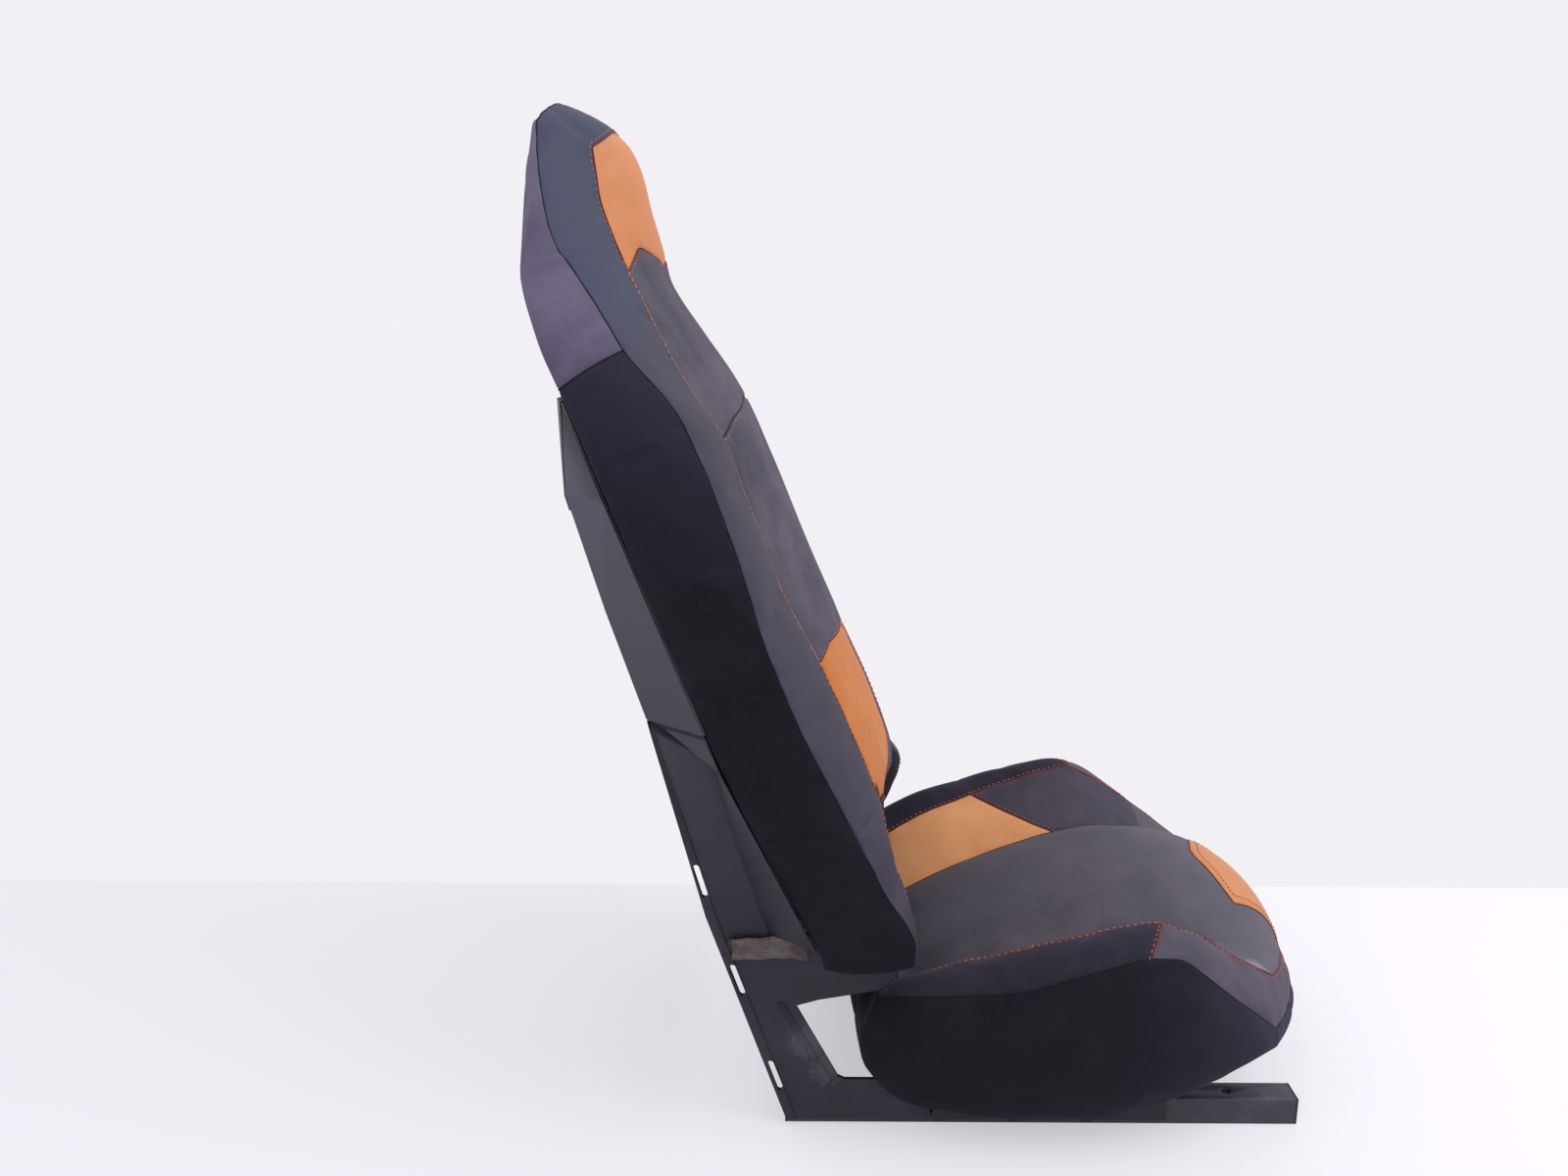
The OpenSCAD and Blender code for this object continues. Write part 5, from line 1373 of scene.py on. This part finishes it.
edgeSets = {
    "carrier_shell": {"name": "shell_moulding", "material": shellPlastic, "slot": "shell_plastic",
                      "radius": 0.9, "sharp": 24.0},
    "base_rail_right": {"name": "rail_right_tube", "material": railPaint, "slot": "rail_paint",
                        "radius": 1.6, "sharp": 30.0},
    "base_rail_left": {"name": "rail_left_tube", "material": railPaint, "slot": "rail_paint",
                       "radius": 1.6, "sharp": 30.0},
    "crossmember_front": {"name": "cross_tube_front", "material": railPaint, "slot": "rail_paint",
                          "radius": 1.4, "sharp": 30.0},
    "crossmember_rear": {"name": "cross_tube_rear", "material": railPaint, "slot": "rail_paint",
                         "radius": 1.4, "sharp": 30.0},
    "seat_pan": {"name": "pan_moulding", "material": panPlastic, "slot": "pan_plastic",
                 "radius": 0.8, "sharp": 30.0},
    "back_board": {"name": "board_moulding", "material": panPlastic, "slot": "pan_plastic",
                   "radius": 0.6, "sharp": 30.0},
}


fairSet = {
    # the rims on the side plates, above cornerLow and behind rimFront, are drawn in to rimFlush
    "rimFrom": 174.2, "rimOuter": 176, "rimFront": -330, "rimFlush": 174.05,
    # the plates' upper rear corner: its heights, its outer face and its rear edge
    "cornerLow": 365, "cornerHigh": 384, "plateFace": 173.4,
    "edgeLow": 370, "edgeAt": -350, "edgeX": -346.9, "edgeZ": 372, "edgeSlope": 0.24,
    # the arms: their heights, where they end on each side, and the share that is left past it
    "armLow": 130, "armHigh": 230, "armLeft": -147, "armRight": -140, "armKept": 0.1}


def fairShell(shape):
    # the rim along the rear edge fades out upwards, and the arm ends under the cushion's corner
    s = fairSet
    for v in shape.verts:
        x, y, z = v.co / mm
        if s["rimFrom"] < abs(y) < s["rimOuter"] and z > s["cornerLow"] and x < s["rimFront"]:
            v.co.y = math.copysign(s["rimFlush"], y) * mm
        if s["cornerLow"] < z < s["cornerHigh"] and s["plateFace"] < abs(y) < s["rimOuter"]:
            v.co.y = math.copysign(s["plateFace"], y) * mm
        if s["edgeLow"] < z < s["cornerHigh"] and x < s["edgeAt"]:
            v.co.x = (s["edgeX"] - (z - s["edgeZ"]) * s["edgeSlope"]) * mm
        limit = s["armLeft"] if y > 0 else s["armRight"]
        if s["armLow"] < z < s["armHigh"] and x > limit:
            v.co.x = (limit + (x - limit) * s["armKept"]) * mm


def roundEdges(nodeName, look):
    shape = bmesh.new()
    shape.from_mesh(nodes[nodeName].data)
    bmesh.ops.remove_doubles(shape, verts=shape.verts, dist=0.00002)
    if nodeName == "carrier_shell":
        fairShell(shape)
    bmesh.ops.dissolve_limit(shape, angle_limit=math.radians(0.6), verts=shape.verts, edges=shape.edges)
    sharp = [e for e in shape.edges if len(e.link_faces) == 2
             and e.calc_face_angle(0) > math.radians(look["sharp"])]
    bmesh.ops.bevel(shape, geom=sharp, offset=look["radius"] * mm, segments=2, profile=0.5,
                    clamp_overlap=True, affect="EDGES")
    mesh = bpy.data.meshes.new(look["name"])
    shape.to_mesh(mesh)
    shape.free()
    mesh.polygons.foreach_set("use_smooth", np.ones(len(mesh.polygons), dtype=bool))
    mesh.set_sharp_from_angle(angle=math.radians(32))
    piece = newObject(look["name"], mesh)
    finishPiece(piece, material=look["material"], replaces=(nodeName,))
    print(look["name"], "has", len(mesh.polygons), "faces")


for nodeName, look in edgeSets.items():
    roundEdges(nodeName, look)

# a painted highlight along the front edges of the shell's two wings, where the lip catches light
wingSet = {"top": (-405.6, 206.4, 651), "foot": (-298.4, 216.1, 386), "thick": 1.1}
wingEdges = []
for side in (-1, 1):
    ends = [Vector((x, side * y, z)) * mm for x, y, z in (wingSet["top"], wingSet["foot"])]
    wingEdges.append((ends, [Vector((0, side, 0))] * 2))
wingHighlightLook = {"Thick": wingSet["thick"] * mm, "Material": shellEdgePaintedHighlight}
finishPiece(alongPaths("shell_rubbed_edge", wingEdges, weltCord, wingHighlightLook))


# small fasteners and fittings keep their solids and take a finish

finishes = {
    "rail_end_plugs": panPlastic, "rail_sleeves": zincSteel, "shell_bolts": blackSteel,
    "shell_washers": blackSteel, "shell_nuts": blackSteel, "pan_inserts": brassInsert,
    "pan_bolts": blackSteel, "pan_washers": blackSteel, "back_tee_nuts": zincSteel,
    "back_screws": zincSteel, "strap_screw": zincSteel, "strap_washer": zincSteel,
}
for nodeName, finish in finishes.items():
    cad = nodes[nodeName]
    cad.data.materials.clear()
    cad.data.materials.append(finish)
print("rigid pieces finished")


# floor and light

stageSet = {"floor": "#aeacb1", "lit": "#efecf2", "beyond": "#f3f0f5", "line": 0.303, "glow": 0.58}
lightSet = {
    "world": ("#f4f2f8", 0.78),
    # place, aim, size and power of each lamp
    "lamps": {"windowLamp": ((1.5, -0.5, 1.9), (-0.05, 0, 0.35), (1.6, 1.2), 26),
              "fillLamp": ((-1.2, -1.5, 1.6), (-0.2, 0, 0.4), (1.4, 1.2), 8)}}


def cameraRays(tree):
    # 1 for what the camera, a reflection or a clear surface looks at, 0 for what lights the object
    path = addNode(tree, "ShaderNodeLightPath")
    seen = addNode(tree, "ShaderNodeMath", {"operation": "MAXIMUM"}, in0=(path, "Is Camera Ray"),
                   in1=(path, "Is Glossy Ray"))
    return addNode(tree, "ShaderNodeMath", {"operation": "MAXIMUM"}, in0=seen,
                   in1=(path, "Is Transmission Ray"))


def makeStage():
    material, tree, place = startMaterial("paleStudioFloor")
    shader = addNode(tree, "ShaderNodeBsdfPrincipled", Roughness=0.6)
    shader.inputs["Base Color"].default_value = srgb(stageSet["floor"])
    shader.inputs["Specular IOR Level"].default_value = 0.2
    glow = addNode(tree, "ShaderNodeEmission")
    glow.inputs["Color"].default_value = srgb(stageSet["lit"])
    seen = cameraRays(tree)
    strength = multiply(tree, seen, stageSet["glow"])
    tree.links.new(strength.outputs[0], glow.inputs["Strength"])
    near = addNode(tree, "ShaderNodeAddShader", in0=shader, in1=glow)
    # past a line behind the object the floor passes into an evenly lit backdrop
    beyond = addNode(tree, "ShaderNodeEmission", Strength=1.0)
    beyond.inputs["Color"].default_value = srgb(stageSet["beyond"])
    split = addNode(tree, "ShaderNodeSeparateXYZ", Vector=place)
    past = addNode(tree, "ShaderNodeMapRange", Value=(split, "Y"), in1=stageSet["line"],
                   in2=stageSet["line"] + 0.004)
    both = multiply(tree, (past, 0), seen)
    shown = addNode(tree, "ShaderNodeMixShader", in0=both, in1=near, in2=beyond)
    closeMaterial(tree, shown)
    mesh = bpy.data.meshes.new("studioFloor")
    mesh.from_pydata([(-6, -6, 0), (6, -6, 0), (6, 6, 0), (-6, 6, 0)], [], [(0, 1, 2, 3)])
    floor = newObject("studioFloor", mesh)
    floor.data.materials.append(material)


def makeLamps():
    for name, (place, aim, size, watts) in lightSet["lamps"].items():
        data = bpy.data.lights.new(name, "AREA")
        data.shape = "RECTANGLE"
        data.size, data.size_y = size
        data.energy = watts
        lamp = newObject(name, data)
        lamp.location = place
        lamp.rotation_mode = "QUATERNION"
        lamp.rotation_quaternion = (Vector(aim) - Vector(place)).to_track_quat("-Z", "Y")


def makeWorld():
    world = bpy.data.worlds.new("studioWorld")
    scene.world = world
    world.use_nodes = True
    tree = world.node_tree
    tree.nodes.clear()
    colour, strength = lightSet["world"]
    light = addNode(tree, "ShaderNodeBackground", Strength=strength)
    light.inputs["Color"].default_value = srgb(colour)
    seen = addNode(tree, "ShaderNodeBackground", Strength=1.0)
    seen.inputs["Color"].default_value = srgb(stageSet["beyond"])
    mix = addNode(tree, "ShaderNodeMixShader", in0=cameraRays(tree), in1=light, in2=seen)
    out = tree.nodes.new("ShaderNodeOutputWorld")
    tree.links.new(mix.outputs[0], out.inputs["Surface"])


makeStage()
makeLamps()
makeWorld()
scene.view_settings.view_transform = "Standard"
print("stage lit")
